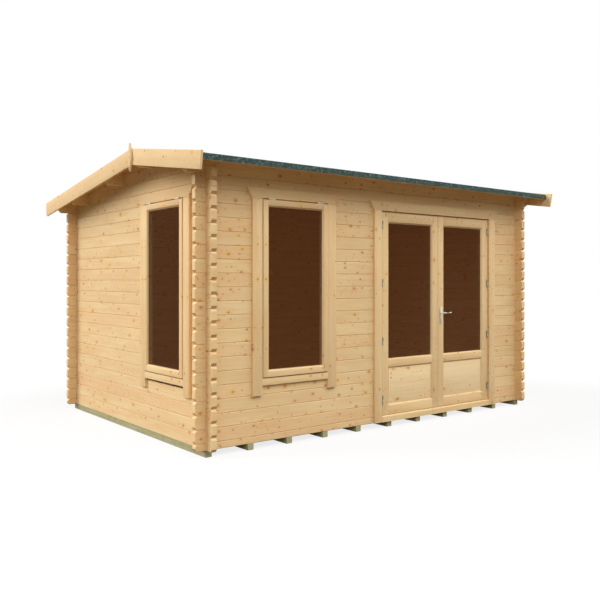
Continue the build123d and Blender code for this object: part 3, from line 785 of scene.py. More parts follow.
# ---------------------------------------------------------------- shared sizes
@dataclass(frozen=True)
class Shell:
    """Sizes of the walls and roof that the pieces here fit to."""

    half_length: float = 2.060
    half_depth: float = 1.430
    base: float = 0.054
    log_height: float = 0.114
    log_thickness: float = 0.050
    front_logs: int = 19
    plate_rise: float = 0.020
    ridge_setback: float = 0.915
    front_pitch: float = math.radians(8.77)
    roof_half_length: float = 2.259
    trim_thickness: float = 0.024
    head_flare: float = 0.057
    head_height: float = 0.095
    front_window: float = -1.160  # its middle along X
    gable_window: float = -0.741  # its middle along Y

    @property
    def ridge(self) -> float:
        """The ridge's place along Y."""
        return self.ridge_setback - self.half_depth

    @property
    def ridge_underside(self) -> float:
        """Height of the roof boards' underside at the ridge."""
        front_eave = self.base + (self.front_logs + 1.5) * self.log_height + self.plate_rise
        return front_eave + self.ridge_setback * math.tan(self.front_pitch)

    def slope(self, side: int) -> float:
        """Works out the tangent of one roof slope's pitch.

        Args:
            side: -1 for the front slope, 1 for the back.

        Returns:
            The tangent.
        """
        if side < 0:
            return math.tan(self.front_pitch)
        back_eave = self.base + (self.front_logs + 0.5) * self.log_height + self.plate_rise
        return (self.ridge_underside - back_eave) / (2 * self.half_depth - self.ridge_setback)

    def roof(self, side: int, y: float | Points, lift: float | Points) -> float | Points:
        """Height of a roof layer: the boards' underside at y, raised square to the slope by lift."""
        tangent = self.slope(side)
        return self.ridge_underside - abs(y - self.ridge) * tangent + lift * math.hypot(1, tangent)


# ---------------------------------------------------------------- sub-assemblies
@dataclass
class LogWalls:
    """The stacked log walls, their plates, the purlins and the linings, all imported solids."""

    shell: Shell

    def dress(self, nodes: dict[str, bpy.types.Object]) -> None:
        """Gives every packed timber its spruce.

        Args:
            nodes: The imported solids.
        """
        shell = self.shell
        edge_y = shell.half_depth - shell.log_thickness / 2
        edge_x = shell.half_length - shell.log_thickness / 2
        half_seam = shell.base - shell.log_height / 2
        courses = {
            "front_wall": CourseGrain(Run.ALONG_FRONT, half_seam, shell.log_height, -edge_y, 0.11),
            "back_wall": CourseGrain(Run.ALONG_FRONT, half_seam, shell.log_height, edge_y, 31.7),
            "left_gable": CourseGrain(Run.FRONT_TO_BACK, shell.base, shell.log_height, -edge_x, 57.3),
            "right_gable": CourseGrain(Run.FRONT_TO_BACK, shell.base, shell.log_height, edge_x, 83.9),
        }
        for family, source in courses.items():
            material = PlanedSpruce(f"planed_spruce_{family}").material(source)
            self.coat(nodes, material, [name for name in nodes if name.startswith(family)])
        unjointed = CourseGrain(Run.ALONG_FRONT, -2.0, 9.0, 0.3, 5.3)  # one course takes in the whole cabin
        beam = PlanedSpruce("planed_spruce_purlins").material(unjointed)
        self.coat(nodes, beam, ["roof_purlins", "eave_battens"])
        unjointed = CourseGrain(Run.UPRIGHT, -9.0, 18.0, -1.4, 7.7)
        lining = PlanedSpruce("joinery_spruce_linings").material(unjointed)
        self.coat(nodes, lining, ["front_window_frame", "gable_window_frame"])

    def coat(
        self, nodes: dict[str, bpy.types.Object], material: bpy.types.Material, names: list[str]
    ) -> None:
        """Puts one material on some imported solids.

        Args:
            nodes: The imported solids.
            material: The finish.
            names: Those that get it.
        """
        for name in names:
            nodes[name].data.materials.clear()
            nodes[name].data.materials.append(material)
            log.info("%s: packed solid in %s", name, material.name)


@dataclass
class TallWindow:
    """A tall top-hung window: four trim boards, a glazed sash standing proud of them, and two hinges."""

    name: str
    shell: Shell
    face: WallFace  # its origin is on the ground under the window's middle
    timber: bpy.types.Material
    metal: bpy.types.Material
    width: float = 0.708
    height: float = 1.507
    sill: float = 0.546
    member: float = 0.062
    bevel: float = 0.014
    thickness: float = 0.044
    proud: float = 0.032
    gap: float = 0.006
    trim_width: float = 0.098
    trim_drop: float = 0.083
    sill_trim: float = 0.068
    foot_gap: float = 0.009  # between the sash's foot and the sill board
    head_gap: float = 0.010  # between the sash's head and the head board
    stile_ease: float = 0.003
    hinge_offset: float = 0.264
    hinge_length: float = 0.074
    hinge_radius: float = 0.0065
    knuckles: int = 5
    slit_share: float = 0.1  # of a knuckle's length
    slit_radius: float = 0.86  # of the barrel's

    @property
    def foot(self) -> float:
        """Height of the sash's foot."""
        return self.shell.base + self.sill

    def build(self) -> None:
        """Builds the trim, the sash and the hinges."""
        self.trim()
        self.sash()
        self.hinges()

    def trim(self) -> None:
        """Two side boards that run below the sill board, and a head board with flared ends."""
        boards = Assembly(f"{self.name}_trim_boards")
        inner = self.width / 2 + self.gap
        outer = inner + self.trim_width
        foot, head, thick = self.foot, self.foot + self.height, self.shell.trim_thickness
        sill_board = foot - self.sill_trim
        for side in (-1, 1):
            outline = rectangle(side * inner, side * outer, sill_board - self.trim_drop, head)
            boards.board_on(self.face, outline, 0.0, thick)
        outline = rectangle(-inner, inner, sill_board, foot - self.foot_gap)
        boards.board_on(self.face, outline, 0.0, thick, (1, 0))
        flared = outer + self.shell.head_flare
        top = head + self.shell.head_height
        notch = head + self.head_gap
        outline = [
            (-outer, head), (-inner, head), (-inner, notch), (inner, notch),
            (inner, head), (outer, head), (flared, top), (-flared, top),
        ]
        boards.board_on(self.face, outline, 0.0, thick, (1, 0))
        boards.piece(self.timber, Slot.JOINERY, "cabin", f"{self.name}_trim")

    def sash(self) -> None:
        """Two stiles, two rails and the bevelled bead that holds the pane."""
        boards = Assembly(f"{self.name}_sash_boards")
        half, foot, head = self.width / 2, self.foot, self.foot + self.height
        flat = self.member - self.bevel
        low, high = self.proud - self.thickness, self.proud
        for side in (-1, 1):
            outline = rectangle(side * half, side * (half - flat), foot, head)
            boards.board_on(self.face, outline, low, high, ease=self.stile_ease)
        for bottom, top in ((foot, foot + flat), (head - flat, head)):
            boards.board_on(self.face, rectangle(flat - half, half - flat, bottom, top), low, high, (1, 0))
        opening = rectangle(flat - half, half - flat, foot + flat, head - flat)
        boards.bead(self.face, opening, self.bevel, low, high)
        boards.piece(self.timber, Slot.JOINERY, "cabin", f"{self.name}_sash")

    def hinges(self) -> None:
        """Two flat hinges over the sash: a knuckled barrel each."""
        metal = Assembly(f"{self.name}_hinge_barrels")
        half, radius = self.hinge_length / 2, self.hinge_radius
        stations = np.linspace(-half, half, 31)
        part = (stations + half) / self.hinge_length * self.knuckles % 1
        slit = abs(part - 0.5) > (1 - self.slit_share) / 2
        radii = np.where(slit, radius * self.slit_radius, radius)
        upright, out = self.foot + self.height + radius, self.shell.trim_thickness + radius
        for side in (-1, 1):
            centre = self.face.at(side * self.hinge_offset, upright, out)
            metal.turned(centre, self.face.level, np.stack([stations, radii], -1))
        metal.piece(self.metal, Slot.STEEL, "cabin", f"{self.name}_hinges")


@dataclass
class DoubleDoors:
    """The doorway's frame and trim, and two half-glazed leaves with hinges and lever handles."""

    shell: Shell
    timber: bpy.types.Material
    panelling: bpy.types.Material
    metal: bpy.types.Material
    barrels: bpy.types.Material
    polished: bpy.types.Material
    # the dark finish of the key slot's painted shade
    keyway_shade: bpy.types.Material
    middle: float = 0.697
    doorway: float = 1.606
    height: float = 2.039
    sill: float = 0.060
    sill_bevel: float = 0.010
    frame_width: float = 0.040
    stop: float = 0.015
    trim_width: float = 0.096
    reveal: float = 0.0145
    gap: float = 0.0055
    meeting_gap: float = 0.006
    thickness: float = 0.040
    proud: float = 0.006
    stile: float = 0.097
    top_rail: float = 0.111
    middle_rail: float = 0.097
    bottom_rail: float = 0.102
    panel: float = 0.345
    panel_thickness: float = 0.020
    panel_recess: float = 0.012
    bevel: float = 0.015
    hinge_length: float = 0.072
    hinge_radius: float = 0.0085
    hinge_air: float = 0.0005  # between a barrel and the leaf's face, and half the slit between barrels
    hinge_pin: float = 0.0024
    hinge_cap: Profile = ((0.0, 0.0042), (0.002, 0.0034), (0.003, 0.0015))  # from the barrel's end
    strap_thickness: float = 0.002
    strap_depths: tuple[float, float] = (0.028, 0.024)  # the frame's strap and the leaf's
    lowest_hinge: float = 0.152
    highest_hinge: float = 0.128
    handle_backset: float = 0.040
    handle_height: float = 1.032
    plate_width: float = 0.035
    plate_thickness: float = 0.004
    plate_above: float = 0.056  # from the spindle
    plate_below: float = 0.116
    plate_corner: float = 0.010
    screw_inset: float = 0.012
    screw_head: Profile = ((-0.001, 0.0036), (0.0004, 0.0036), (0.0011, 0.0026), (0.0014, 0.0008))
    lock_below: float = 0.072
    lock_face: Profile = ((-0.001, 0.0085), (0.0022, 0.0085), (0.0028, 0.008), (0.003, 0.0066))
    collar: Profile = ((0.0, 0.0130), (0.001, 0.0140), (0.020, 0.0125), (0.022, 0.0110))
    neck_gap: float = 0.001  # between a plate and the lever's neck
    neck_radius: float = 0.0085
    spindle_radius: float = 0.004
    lever_reach: float = 0.033
    lever_bend: float = 0.012
    lever_run: float = 0.119
    lever_section: tuple[float, float] = (0.0078, 0.0044)  # half its height and half its depth

    def __post_init__(self) -> None:
        """Works out the places that several pieces share."""
        self.face = WallFace((self.middle, -self.shell.half_depth, 0.0), (1.0, 0.0, 0.0), (0.0, -1.0, 0.0))
        self.jamb = self.doorway / 2
        self.lintel = self.shell.base + self.height
        self.sill_top = self.shell.base + self.sill
        self.leaf_width = (self.doorway - 2 * self.gap - self.meeting_gap) / 2
        self.leaf_foot = self.sill_top + self.gap
        self.leaf_head = self.lintel - self.gap
        self.back = self.proud - self.thickness

    def build(self) -> None:
        """Builds the frame, the trim, both leaves, the hinges and the handles."""
        self.frame()
        self.trim()
        for label, side in (("left", -1), ("right", 1)):
            self.leaf(label, side)
        self.hinges()
        self.plates()
        self.levers()

    def frame(self) -> None:
        """Jambs, head, stops, and a sill whose nose has a bevelled top edge."""
        boards = Assembly("door_frame_boards")
        base, jamb, outer = self.shell.base, self.jamb, self.jamb + self.frame_width
        wall, top = self.shell.log_thickness, self.lintel + self.frame_width
        inner, behind = jamb - self.stop, self.back - self.gap
        for side in (-1, 1):
            boards.board_on(self.face, rectangle(side * jamb, side * outer, base, top), -wall, 0.0)
            stop = rectangle(side * jamb, side * inner, self.sill_top, self.lintel)
            boards.board_on(self.face, stop, -wall, behind)
        boards.board_on(self.face, rectangle(-jamb, jamb, self.lintel, top), -wall, 0.0, (1, 0))
        stop = rectangle(-inner, inner, self.lintel - self.stop, self.lintel)
        boards.board_on(self.face, stop, -wall, behind, (1, 0))
        sill = rectangle(-jamb, jamb, base, self.sill_top)
        boards.board_on(self.face, sill, -wall, 0.0, (1, 0), ease=0.0005)
        stop = rectangle(-inner, inner, self.sill_top, self.sill_top + self.stop)
        boards.board_on(self.face, stop, -wall, behind, (1, 0))
        nose, bevel, top = self.shell.trim_thickness, self.sill_bevel, self.sill_top
        profile = np.array([(0.0, base), (nose, base), (nose, top - bevel), (nose - bevel, top), (0.0, top)])
        ends = np.array([-jamb - self.reveal, jamb + self.reveal])
        nosing = self.face.at(ends[:, None], profile[None, :, 1], profile[None, :, 0])
        boards.bar(nosing, profile - profile.mean(0))
        boards.piece(self.timber, Slot.JOINERY, "cabin", "door_frame")

    def trim(self) -> None:
        """Two side boards down to the walls' foot, under a head board with flared ends."""
        boards = Assembly("door_trim_boards")
        inner = self.jamb + self.reveal
        outer = inner + self.trim_width
        thick = self.shell.trim_thickness
        for side in (-1, 1):
            outline = rectangle(side * inner, side * outer, self.shell.base, self.lintel)
            boards.board_on(self.face, outline, 0.0, thick)
        flared, top = outer + self.shell.head_flare, self.lintel + self.shell.head_height
        outline = [(-outer, self.lintel), (outer, self.lintel), (flared, top), (-flared, top)]
        boards.board_on(self.face, outline, 0.0, thick, (1, 0))
        boards.piece(self.timber, Slot.JOINERY, "cabin", "door_trim")

    def leaf(self, label: str, side: int) -> None:
        """Stiles, three rails, a bead round each opening, and a plain panel.

        Args:
            label: "left" or "right".
            side: -1 for the left leaf, 1 for the right.
        """
        boards = Assembly(f"{label}_door_leaf_boards")
        edge, bevel = self.meeting_gap / 2, self.bevel
        left, right = sorted((side * edge, side * (edge + self.leaf_width)))
        foot, head, low, high = self.leaf_foot, self.leaf_head, self.back, self.proud
        flat = self.stile - bevel
        inner_left, inner_right = left + flat, right - flat
        boards.board_on(self.face, rectangle(left, inner_left, foot, head), low, high)
        boards.board_on(self.face, rectangle(inner_right, right, foot, head), low, high)
        panel_foot = foot + self.bottom_rail
        panel_head = panel_foot + self.panel
        pane_foot = panel_head + self.middle_rail
        pane_head = head - self.top_rail
        rails = (foot, panel_foot - bevel), (panel_head + bevel, pane_foot - bevel), (pane_head + bevel, head)
        for bottom, top in rails:
            boards.board_on(self.face, rectangle(inner_left, inner_right, bottom, top), low, high, (1, 0))
        for bottom, top in ((panel_foot, panel_head), (pane_foot, pane_head)):
            opening = rectangle(inner_left, inner_right, bottom - bevel, top + bevel)
            boards.bead(self.face, opening, bevel, low, high)
        boards.piece(self.timber, Slot.JOINERY, f"{label}_door", f"{label}_door_leaf")

        panel = Assembly(f"{label}_door_panel_board")
        front = self.proud - self.panel_recess
        outline = rectangle(left + self.stile, right - self.stile, panel_foot, panel_head)
        panel.board_on(self.face, outline, front - self.panel_thickness, front, (1, 0), ease=0.0002)
        panel.piece(self.panelling, Slot.JOINERY, f"{label}_door", f"{label}_door_panel")

    def hinges(self) -> None:
        """Four barrels a leaf: the lower half on the frame with the pin, the upper half on the leaf."""
        lowest, highest = self.leaf_foot + self.lowest_hinge, self.leaf_head - self.highest_hinge
        out = self.proud + self.hinge_air + self.hinge_radius
        half, radius, slit = self.hinge_length / 2, self.hinge_radius, self.hinge_air
        barrel = [(slit, radius - 0.0006), (slit + 0.001, radius), (half - 0.001, radius)]
        upper = np.array([*barrel, *((half + beyond, end) for beyond, end in self.hinge_cap)])
        lower = [*(upper[::-1] * (-1, 1)), (-slit, self.hinge_pin), (half, self.hinge_pin)]
        fixed = Assembly("door_hinge_lower_halves")
        frame_back, leaf_back = self.strap_depths
        for label, side in (("left", -1), ("right", 1)):
            moving = Assembly(f"{label}_door_hinge_upper_halves")
            frame_edge, leaf_edge = side * self.jamb, side * (self.jamb - self.gap)
            strap = side * self.strap_thickness
            for height in np.linspace(lowest, highest, 4):
                centre = self.face.at((frame_edge + leaf_edge) / 2, height, out)
                fixed.turned(centre, (0, 0, 1), lower)
                moving.turned(centre, (0, 0, 1), upper)
                outline = rectangle(frame_edge, frame_edge - strap, height - half, height - slit)
                fixed.board_on(self.face, outline, -frame_back, out, ease=0.0004)
                outline = rectangle(leaf_edge, leaf_edge + strap, height + slit, height + half)
                moving.board_on(self.face, outline, -leaf_back, out, ease=0.0004)
            moving.piece(self.barrels, Slot.STEEL, f"{label}_door", f"{label}_door_hinges")
        fixed.piece(self.barrels, Slot.STEEL, "cabin", "door_hinge_pins")

    def spindle(self) -> tuple[float, float]:
        """Level and upright place of the handle's spindle."""
        return self.meeting_gap / 2 + self.handle_backset, self.shell.base + self.handle_height

    def plates(self) -> None:
        """A rounded plate on each face of the right leaf, with screws and a lock cylinder, whose key slot is
        a dark bar of painted shade.
        """
        # dark holds the key slots, drawn as painted shade
        metal, dark = Assembly("door_handle_plates"), Assembly("lock_cylinder_slots")
        level, upright = self.spindle()
        head, foot, lock = upright + self.plate_above, upright - self.plate_below, upright - self.lock_below
        corner, thick = self.plate_corner, self.plate_thickness
        aside = self.plate_width / 2 - corner
        middles = rectangle(level - aside, level + aside, foot + corner, head - corner)
        middles = np.roll(middles, 2, axis=0)
        angle = np.linspace(0, math.pi / 2, 7) + np.arange(4)[:, None] * math.pi / 2
        outline = middles[:, None] + corner * np.stack([np.cos(angle), np.sin(angle)], -1)
        for start, way in ((self.proud, 1), (self.back, -1)):
            outer = start + way * thick
            ahead = np.array(self.face.outward) * way
            low, high = sorted((start, outer))
            metal.board_on(self.face, outline.reshape(-1, 2).tolist(), low, high, ease=0.0014)
            for height in (head - self.screw_inset, foot + self.screw_inset):
                metal.turned(self.face.at(level, height, outer), ahead, self.screw_head)
            metal.turned(self.face.at(level, lock, outer), ahead, self.lock_face)
            # the key slot is painted shade: a thin dark bar on the cylinder's face, not a hole
            slot = rectangle(level - 0.0012, level + 0.0012, lock - 0.0045, lock + 0.0045)
            dark.board_on(self.face, slot, *sorted((outer, outer + way * 0.0032)), ease=0.0002)
            tail = rectangle(level - 0.0045, level + 0.0045, lock - 0.022, lock)
            metal.board_on(self.face, tail, *sorted((outer - way * 0.001, outer + way * 0.0024)), ease=0.0008)
        metal.piece(self.metal, Slot.STEEL, "right_door", "handle_plates")
        dark.piece(self.keyway_shade, Slot.STEEL, "right_door")

    def levers(self) -> None:
        """A lever on each side: a round neck, then an oval bar that bends level and narrows to a waist.

        The bar's middle follows a quarter circle out of the neck. Then, with t from 0 to 1 along it,
        it is 0.004 t cubed - 0.003 sin(2.6 t) high and comes 0.004 t cubed nearer to the leaf. Its
        section is an ellipse square to that path, and grow, from 0 to 1, turns the neck's circle
        into it. Its height has the factor (1 - 0.7 exp(-((t - 0.5) / 0.25) squared)) (1 - 0.15 t).
        A polished collar stands round each neck.
        """
        metal, collars = Assembly("door_lever_handles"), Assembly("door_lever_collars")
        level, upright = self.spindle()
        reach, bend, stand = self.lever_reach, self.lever_bend, self.plate_thickness + self.neck_gap
        turn = np.linspace(0, math.pi / 2, 8)
        t = np.linspace(0, 1, 22)[1:]
        neck = np.zeros(2 + len(turn))
        path_level = np.concatenate([[0.0, 0.0], bend * (1 - np.cos(turn)), bend + t * self.lever_run])
        path_out = [[0.0, reach - bend - 0.004], reach - bend + bend * np.sin(turn), reach - 0.004 * t**3]
        path_out = np.concatenate(path_out)
        path_rise = np.concatenate([neck, 0.004 * t**3 - 0.003 * np.sin(2.6 * t)])
        grow = np.concatenate([[0.0, 0.3], np.linspace(0.4, 1.0, len(turn)), np.ones_like(t)])
        waist = (1 - 0.7 * np.exp(-(((t - 0.5) / 0.25) ** 2))) * (1 - 0.15 * t)
        wide, deep = (self.neck_radius * (1 - grow) + size * grow for size in self.lever_section)
        wide[len(neck):] *= waist
        wide[-1] *= 0.6
        deep[-1] *= 0.5
        for start, way in ((self.proud + stand, 1), (self.back - stand, -1)):
            path = self.face.at(level + path_level, upright + path_rise, start + way * path_out)
            ahead = np.gradient(path, axis=0)
            ahead /= np.linalg.norm(ahead, axis=1, keepdims=True)
            side = np.cross(ahead, (0.0, 0.0, 1.0))
            side /= np.linalg.norm(side, axis=1, keepdims=True)
            above = np.cross(side, ahead)
            metal.bar(
                path[:, None]
                + (deep[:, None] * np.cos(ROUND))[..., None] * side[:, None]
                + (wide[:, None] * np.sin(ROUND))[..., None] * above[:, None]
            )
            foot = self.face.at(level, upright, start)
            collars.turned(foot, np.array(self.face.outward) * way, self.collar)
        centre = self.face.at(level, upright, self.back - stand)
        spindle = [(0.0, self.spindle_radius), (self.thickness + 2 * stand, self.spindle_radius)]
        metal.turned(centre, self.face.outward, spindle)
        metal.piece(self.metal, Slot.STEEL, "door_handle", "door_handle")
        collars.piece(self.polished, Slot.STEEL, "door_handle")


@dataclass
class LowRoof:
    """Grooved roof boards down both slopes, lapped felt with folded eaves, bargeboards and finials."""

    shell: Shell
    boards_timber: bpy.types.Material
    barge_timber: bpy.types.Material
    felt: bpy.types.Material
    board_thickness: float = 0.019
    felt_thickness: float = 0.003
    board_count: int = 41
    joint_bevel: float = 0.004
    eave_reach: float = 0.240
    sheet_width: float = 0.92
    lap: float = 0.075
    fold: float = 0.050
    fold_radius: float = 0.006
    strip_reach: float = 0.15
    barge_reach: float = 0.309
    barge_thickness: float = 0.020
    barge_height: float = 0.1445
    barge_rise: float = 0.0125
    barge_ease: float = 0.002
    finial_width: float = 0.070
    finial_height: float = 0.250
    finial_drop: float = 0.205

    def build(self) -> None:
        """Builds each layer of the roof."""
        for label, side in (("front", -1), ("back", 1)):
            self.boards(label, side)
            self.sheets(label, side)
        self.bargeboards()

    def boards(self, label: str, side: int) -> None:
        """Tongued boards from the ridge to the eave, with a V at each joint underneath.

        Args:
            label: "front" or "back".
            side: -1 for the front slope, 1 for the back.
        """
        pile = Assembly(f"{label}_roof_tongued_boards")
        shell, bevel = self.shell, self.joint_bevel
        eave = side * (shell.half_depth + self.eave_reach - self.felt_thickness)
        ends = np.array([shell.ridge, eave])
        edges = np.linspace(-shell.roof_half_length, shell.roof_half_length, self.board_count + 1)
        for start, end in zip(edges[:-1], edges[1:]):
            x = np.array([start, start + bevel, end - bevel, end, end, start])
            lift = np.array([bevel, 0.0, 0.0, bevel, self.board_thickness, self.board_thickness])
            y = np.broadcast_to(ends[:, None], (2, 6))
            rings = np.stack([np.broadcast_to(x, (2, 6)), y, shell.roof(side, y, lift[None])], -1)
            pile.bar(rings, np.stack([x - x.mean(), lift], -1))
        pile.piece(self.boards_timber, Slot.PLANED, "cabin", f"{label}_roof_boards")

    def sheets(self, label: str, side: int) -> None:
        """Felt in courses up the slope, each lapped over the one below, the lowest folded down the eave.

        Args:
            label: "front" or "back".
            side: -1 for the front slope, 1 for the back.
        """
        pile = Assembly(f"{label}_roof_felt_courses")
        shell = self.shell
        eave = side * (shell.half_depth + self.eave_reach)
        length = abs(eave - shell.ridge)
        stops = np.linspace(0.0, length, math.ceil(length / self.sheet_width) + 1)
        ends = (-shell.roof_half_length, shell.roof_half_length)
        pile.bar_along_x(ends, self.folded_sheet(side, eave, eave - side * stops[1]))
        for start, stop in zip(stops[1:-1], stops[2:]):
            run = np.array([start - self.lap, start - self.lap * 0.05, start, stop])
            lift = self.board_thickness + self.felt_thickness * np.array([1.0, 1.0, 0.0, 0.0])
            y = eave - side * run
            low = np.stack([y, shell.roof(side, y, lift)], -1)
            high = np.stack([y, shell.roof(side, y, lift + self.felt_thickness)], -1)
            pile.bar_along_x(ends, np.concatenate([low, high[::-1]]))
        if side > 0:
            self.ridge_strip(pile)
        pile.piece(self.felt, Slot.FELT, "cabin", f"{label}_roof_felt")

    def folded_sheet(self, side: int, eave: float, stop: float) -> Points:
        """The lowest sheet's section: a plumb drop, a quarter circle over the eave, and up the slope.

        Args:
            side: -1 for the front slope, 1 for the back.
            eave: The fold's outer place along Y.
            stop: Where the sheet ends up the slope, along Y.

        Returns:
            Its corners, as Y and Z.
        """
        shell, thick, radius = self.shell, self.felt_thickness, self.fold_radius
        top = shell.roof(side, eave, self.board_thickness + thick)
        turn = np.linspace(math.pi / 2, 0, 6)
        back = radius * (1 - np.sin(turn))
        arc = np.stack([eave - side * back, top - radius * (1 - np.cos(turn)) + shell.slope(side) * back], -1)
        inner, bend = eave - side * thick, eave - side * radius
        return np.array(
            [
                (inner, top - self.fold),
                (inner, top - radius),
                (bend, shell.roof(side, bend, self.board_thickness)),
                (stop, shell.roof(side, stop, self.board_thickness)),
                (stop, shell.roof(side, stop, self.board_thickness + thick)),
                *arc[::-1],
                (eave, top - self.fold),
            ]
        )

    def ridge_strip(self, pile: Assembly) -> None:
        """A strip bent over the ridge, on top of both slopes' highest sheets.

        Args:
            pile: The back slope's sheets, which it joins.
        """
        shell, thick, reach = self.shell, self.felt_thickness, self.strip_reach
        skin = self.board_thickness + thick
        places = (-1, shell.ridge - reach), (-1, shell.ridge), (1, shell.ridge + reach)
        low = np.array([(y, shell.roof(side, y, skin)) for side, y in places])
        ends = (-shell.roof_half_length, shell.roof_half_length)
        pile.bar_along_x(ends, np.concatenate([low, (low + (0.0, thick))[::-1]]))

    def bargeboards(self) -> None:
        """A board up each slope at each gable, and a pointed finial over each pair's joint."""
        shell = self.shell
        skin = self.board_thickness + self.felt_thickness
        high = skin + self.barge_rise
        low = high - self.barge_height
        points = Assembly("ridge_finials")
        for gable, way in (("left", -1.0), ("right", 1.0)):
            face = WallFace((way * shell.roof_half_length, 0.0, 0.0), (0.0, way, 0.0), (way, 0.0, 0.0))
            for label, side in (("front", -1), ("back", 1)):
                tangent = shell.slope(side)
                cosine = 1 / math.hypot(1, tangent)
                eave = side * (shell.half_depth + self.barge_reach)
                top = shell.roof(side, eave, high)
                foot_y = eave - side * self.barge_height * tangent * cosine
                foot_z = top - self.barge_height * cosine
                at_ridge = [(shell.ridge, shell.roof(side, shell.ridge, lift)) for lift in (low, high)]
                outline = [at_ridge[0], (foot_y, foot_z), (eave, top), at_ridge[1]]
                outline = [(way * y, z) for y, z in outline]
                board = Assembly(f"{gable}_{label}_bargeboard_timber")
                fibres = (way * side, -tangent)
                board.board_on(face, outline, 0.0, self.barge_thickness, fibres, ease=self.barge_ease)
                board.piece(self.barge_timber, Slot.JOINERY, "cabin", f"{gable}_{label}_bargeboard")
            foot = shell.ridge_underside + high - self.finial_drop
            head, middle = foot + self.finial_height, foot + self.finial_height / 2
            ridge, half, thick = way * shell.ridge, self.finial_width / 2, self.barge_thickness
            outline = [(ridge, foot), (ridge + half, middle), (ridge, head), (ridge - half, middle)]
            points.board_on(face, outline, thick, 2 * thick, ease=self.barge_ease)
        points.piece(self.barge_timber, Slot.JOINERY, "cabin", "finials")


@dataclass
class Floor:
    """Tongued floor boards across the bearers, with a fine V at each joint on top."""

    timber: bpy.types.Material
    board_count: int = 24
    bevel: float = 0.0015

    def build(self) -> None:
        """Lays the boards along X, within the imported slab's box."""
        low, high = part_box("floor_boards")
        pile = Assembly("tongued_floor_boards")
        edges = np.linspace(low.y, high.y, self.board_count + 1)
        for start, end in zip(edges[:-1], edges[1:]):
            y = np.array([start, end, end, end - self.bevel, start + self.bevel, start])
            z = np.array([low.z, low.z, high.z - self.bevel, high.z, high.z, high.z - self.bevel])
            pile.bar_along_x((low.x, high.x), np.stack([y, z], -1))
        pile.piece(self.timber, Slot.PLANED, "cabin", "floor_boards")


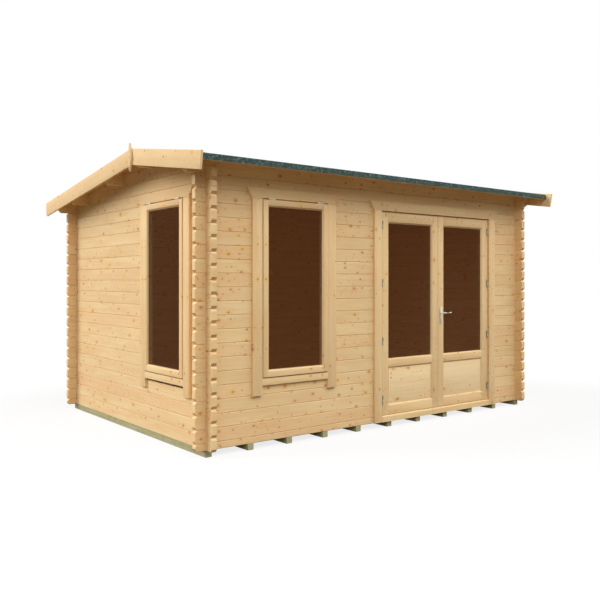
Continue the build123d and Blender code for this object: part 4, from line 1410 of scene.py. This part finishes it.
@dataclass
class Studio:
    """A pale floor, a white surround that only shows, four wide soft lamps, and the camera."""

    # Each lamp's way round, from straight before the front wall towards its left end, its
    # height, both in degrees, and its strength: 1 shows a written colour on a face square to it.
    lamps: tuple[tuple[str, float, float, float], ...] = (
        ("back_left_lamp", 130.0, 32.0, 0.97),
        ("left_lamp", 42.0, 32.0, 0.375),
        ("high_front_lamp", -20.0, 52.0, 0.57),
        ("right_lamp", -75.0, 22.0, 0.39),
    )
    lamp_width: float = 46.0  # of each lamp's disc, in degrees
    bounce: tuple[float, float, float] = (0.169, 0.1415, 0.102)  # the floor's tone for its reflected light
    floor_glow: float = 0.8  # most of the floor's white, which no shadow dims
    floor_tone: float = 0.18  # the part that the lamps light, where the shadow shows
    reach: float = 60.0  # of the floor, each way

    def build(self) -> None:
        """Builds the floor, the surround, the lamps and the camera."""
        self.floor()
        self.surround()
        for lamp in self.lamps:
            self.soft_lamp(*lamp)
        self.camera()

    def seen(self, tree: bpy.types.NodeTree) -> Socket:
        """Tells rays that come from the camera, a mirror or a pane from those that carry light.

        Args:
            tree: The tree that asks.

        Returns:
            1 for the first kind, 0 for the second.
        """
        path = add_node(tree, "LightPath")
        seen = path["Is Camera Ray"]
        for kind in ("Is Glossy Ray", "Is Transmission Ray"):
            seen = add_node(tree, "Math", {0: seen, 1: path[kind]}, operation="MAXIMUM")[0]
        return seen

    def floor(self) -> None:
        """White to the eye, with the object's soft shadow, and dull to the light that it bounces."""
        reach = self.reach
        mesh = bpy.data.meshes.new("studio_floor")
        corners = [(x, y, -0.0005) for x, y in rectangle(-reach, reach, -reach, reach)]
        mesh.from_pydata(corners, [], [[0, 1, 2, 3]])
        material = bpy.data.materials.new("white_floor")
        material.use_nodes = True
        tree = material.node_tree
        tree.nodes.clear()
        dull = add_node(tree, "BsdfDiffuse", {"Color": (*self.bounce, 1.0)})[0]
        glow = add_node(tree, "Emission", {"Color": (1, 1, 1, 1), "Strength": self.floor_glow})[0]
        pale = add_node(tree, "BsdfDiffuse", {"Color": (*[self.floor_tone] * 3, 1.0)})[0]
        white = add_node(tree, "AddShader", {0: glow, 1: pale})[0]
        both = add_node(tree, "MixShader", {0: self.seen(tree), 1: dull, 2: white})[0]
        add_node(tree, "OutputMaterial", {"Surface": both})
        mesh.materials.append(material)
        floor = bpy.data.objects.new("studio_floor", mesh)
        bpy.context.scene.collection.objects.link(floor)

    def surround(self) -> None:
        """White to the eye, to mirrors and through panes, and no light on the timber."""
        world = bpy.data.worlds.new("white_surround")
        bpy.context.scene.world = world
        world.use_nodes = True
        tree = world.node_tree
        background = tree.nodes["Background"]
        background.inputs["Color"].default_value = (1, 1, 1, 1)
        tree.links.new(self.seen(tree), background.inputs["Strength"])

    def soft_lamp(self, name: str, way: float, height: float, strength: float) -> None:
        """A sun with a very wide disc, so that its shadows have no edges.

        Args:
            name: The lamp's name.
            way: Degrees round from straight before the front wall, towards its left end.
            height: Degrees above level.
            strength: 1 shows a written colour on a face square to the lamp.
        """
        lamp = bpy.data.lights.new(name, "SUN")
        lamp.energy = strength * math.pi
        lamp.angle = math.radians(self.lamp_width)
        holder = bpy.data.objects.new(name, lamp)
        holder.rotation_euler = (math.radians(90 - height), 0.0, math.radians(-way))
        bpy.context.scene.collection.objects.link(holder)

    def camera(self) -> None:
        """Eye height, beyond the front left corner, level, with a small lens shift for the framing."""
        data = bpy.data.cameras.new("eye_height")
        data.sensor_width = 36.0
        data.lens = 43.24
        data.shift_x, data.shift_y = 0.0078, -0.0318
        data.clip_end = 200.0
        camera = bpy.data.objects.new("eye_height", data)
        camera.location = (-5.0001, -6.4475, 1.4165)
        camera.rotation_euler = (math.pi / 2, 0.0, -0.65402)
        bpy.context.scene.collection.objects.link(camera)
        bpy.context.scene.camera = camera


def main() -> None:
    """Builds the studio and the cabin, in order."""
    logging.basicConfig(level=logging.INFO, format="%(message)s")
    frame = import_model()
    nodes = frame["nodes"]
    bpy.context.scene.view_settings.view_transform = "Standard"
    Studio().build()

    shell = Shell()
    joinery = PlanedSpruce("joinery_spruce", knot_share=0.2, rosiness=0.3).material(BoardGrain())
    panelling = PlanedSpruce(
        "panel_spruce", pale="#fae2b4", honey="#f4d8a6", knot_share=0.12, rosiness=0.2
    ).material(BoardGrain())
    metal = SatinMetal("satin_steel").material()
    barrels = SatinMetal("brushed_hinge_steel", tone="#958f7c", roughness=0.45).material()
    zinc = SatinMetal("zinc_plated_hinge", tone="#aaa69c", roughness=0.45).material()
    walls = LogWalls(shell)
    walls.dress(nodes)
    walls.coat(nodes, TreatedTimber().material(), ["floor_bearers"])
    walls.coat(nodes, ClearPane().material(), [name for name in nodes if name.endswith("_glass")])
    # a darker copy of the panes' painted brown, for the gable window
    walls.coat(nodes, ClearPane("gable_float_glass", tint="#613919").material(), ["gable_window_glass"])

    front = WallFace((shell.front_window, -shell.half_depth, 0.0), (1.0, 0.0, 0.0), (0.0, -1.0, 0.0))
    gable = WallFace((-shell.half_length, shell.gable_window, 0.0), (0.0, -1.0, 0.0), (-1.0, 0.0, 0.0))
    for name, face in (("front_window", front), ("gable_window", gable)):
        TallWindow(name, shell, face, joinery, zinc).build()
    polished = SatinMetal("polished_steel", tone="#f2f0ea", roughness=0.22).material()
    # painted shade for the lock's key slot
    keyway_shade = SatinMetal("painted_key_slot_shade", tone="#2a2826", roughness=0.5).material()
    DoubleDoors(shell, joinery, panelling, metal, barrels, polished, keyway_shade).build()
    roof_timber = PlanedSpruce("roof_board_spruce", knot_share=0.24).material(BoardGrain())
    LowRoof(shell, roof_timber, joinery, MineralFelt().material()).build()
    Floor(roof_timber).build()


if __name__ == "__main__":
    main()
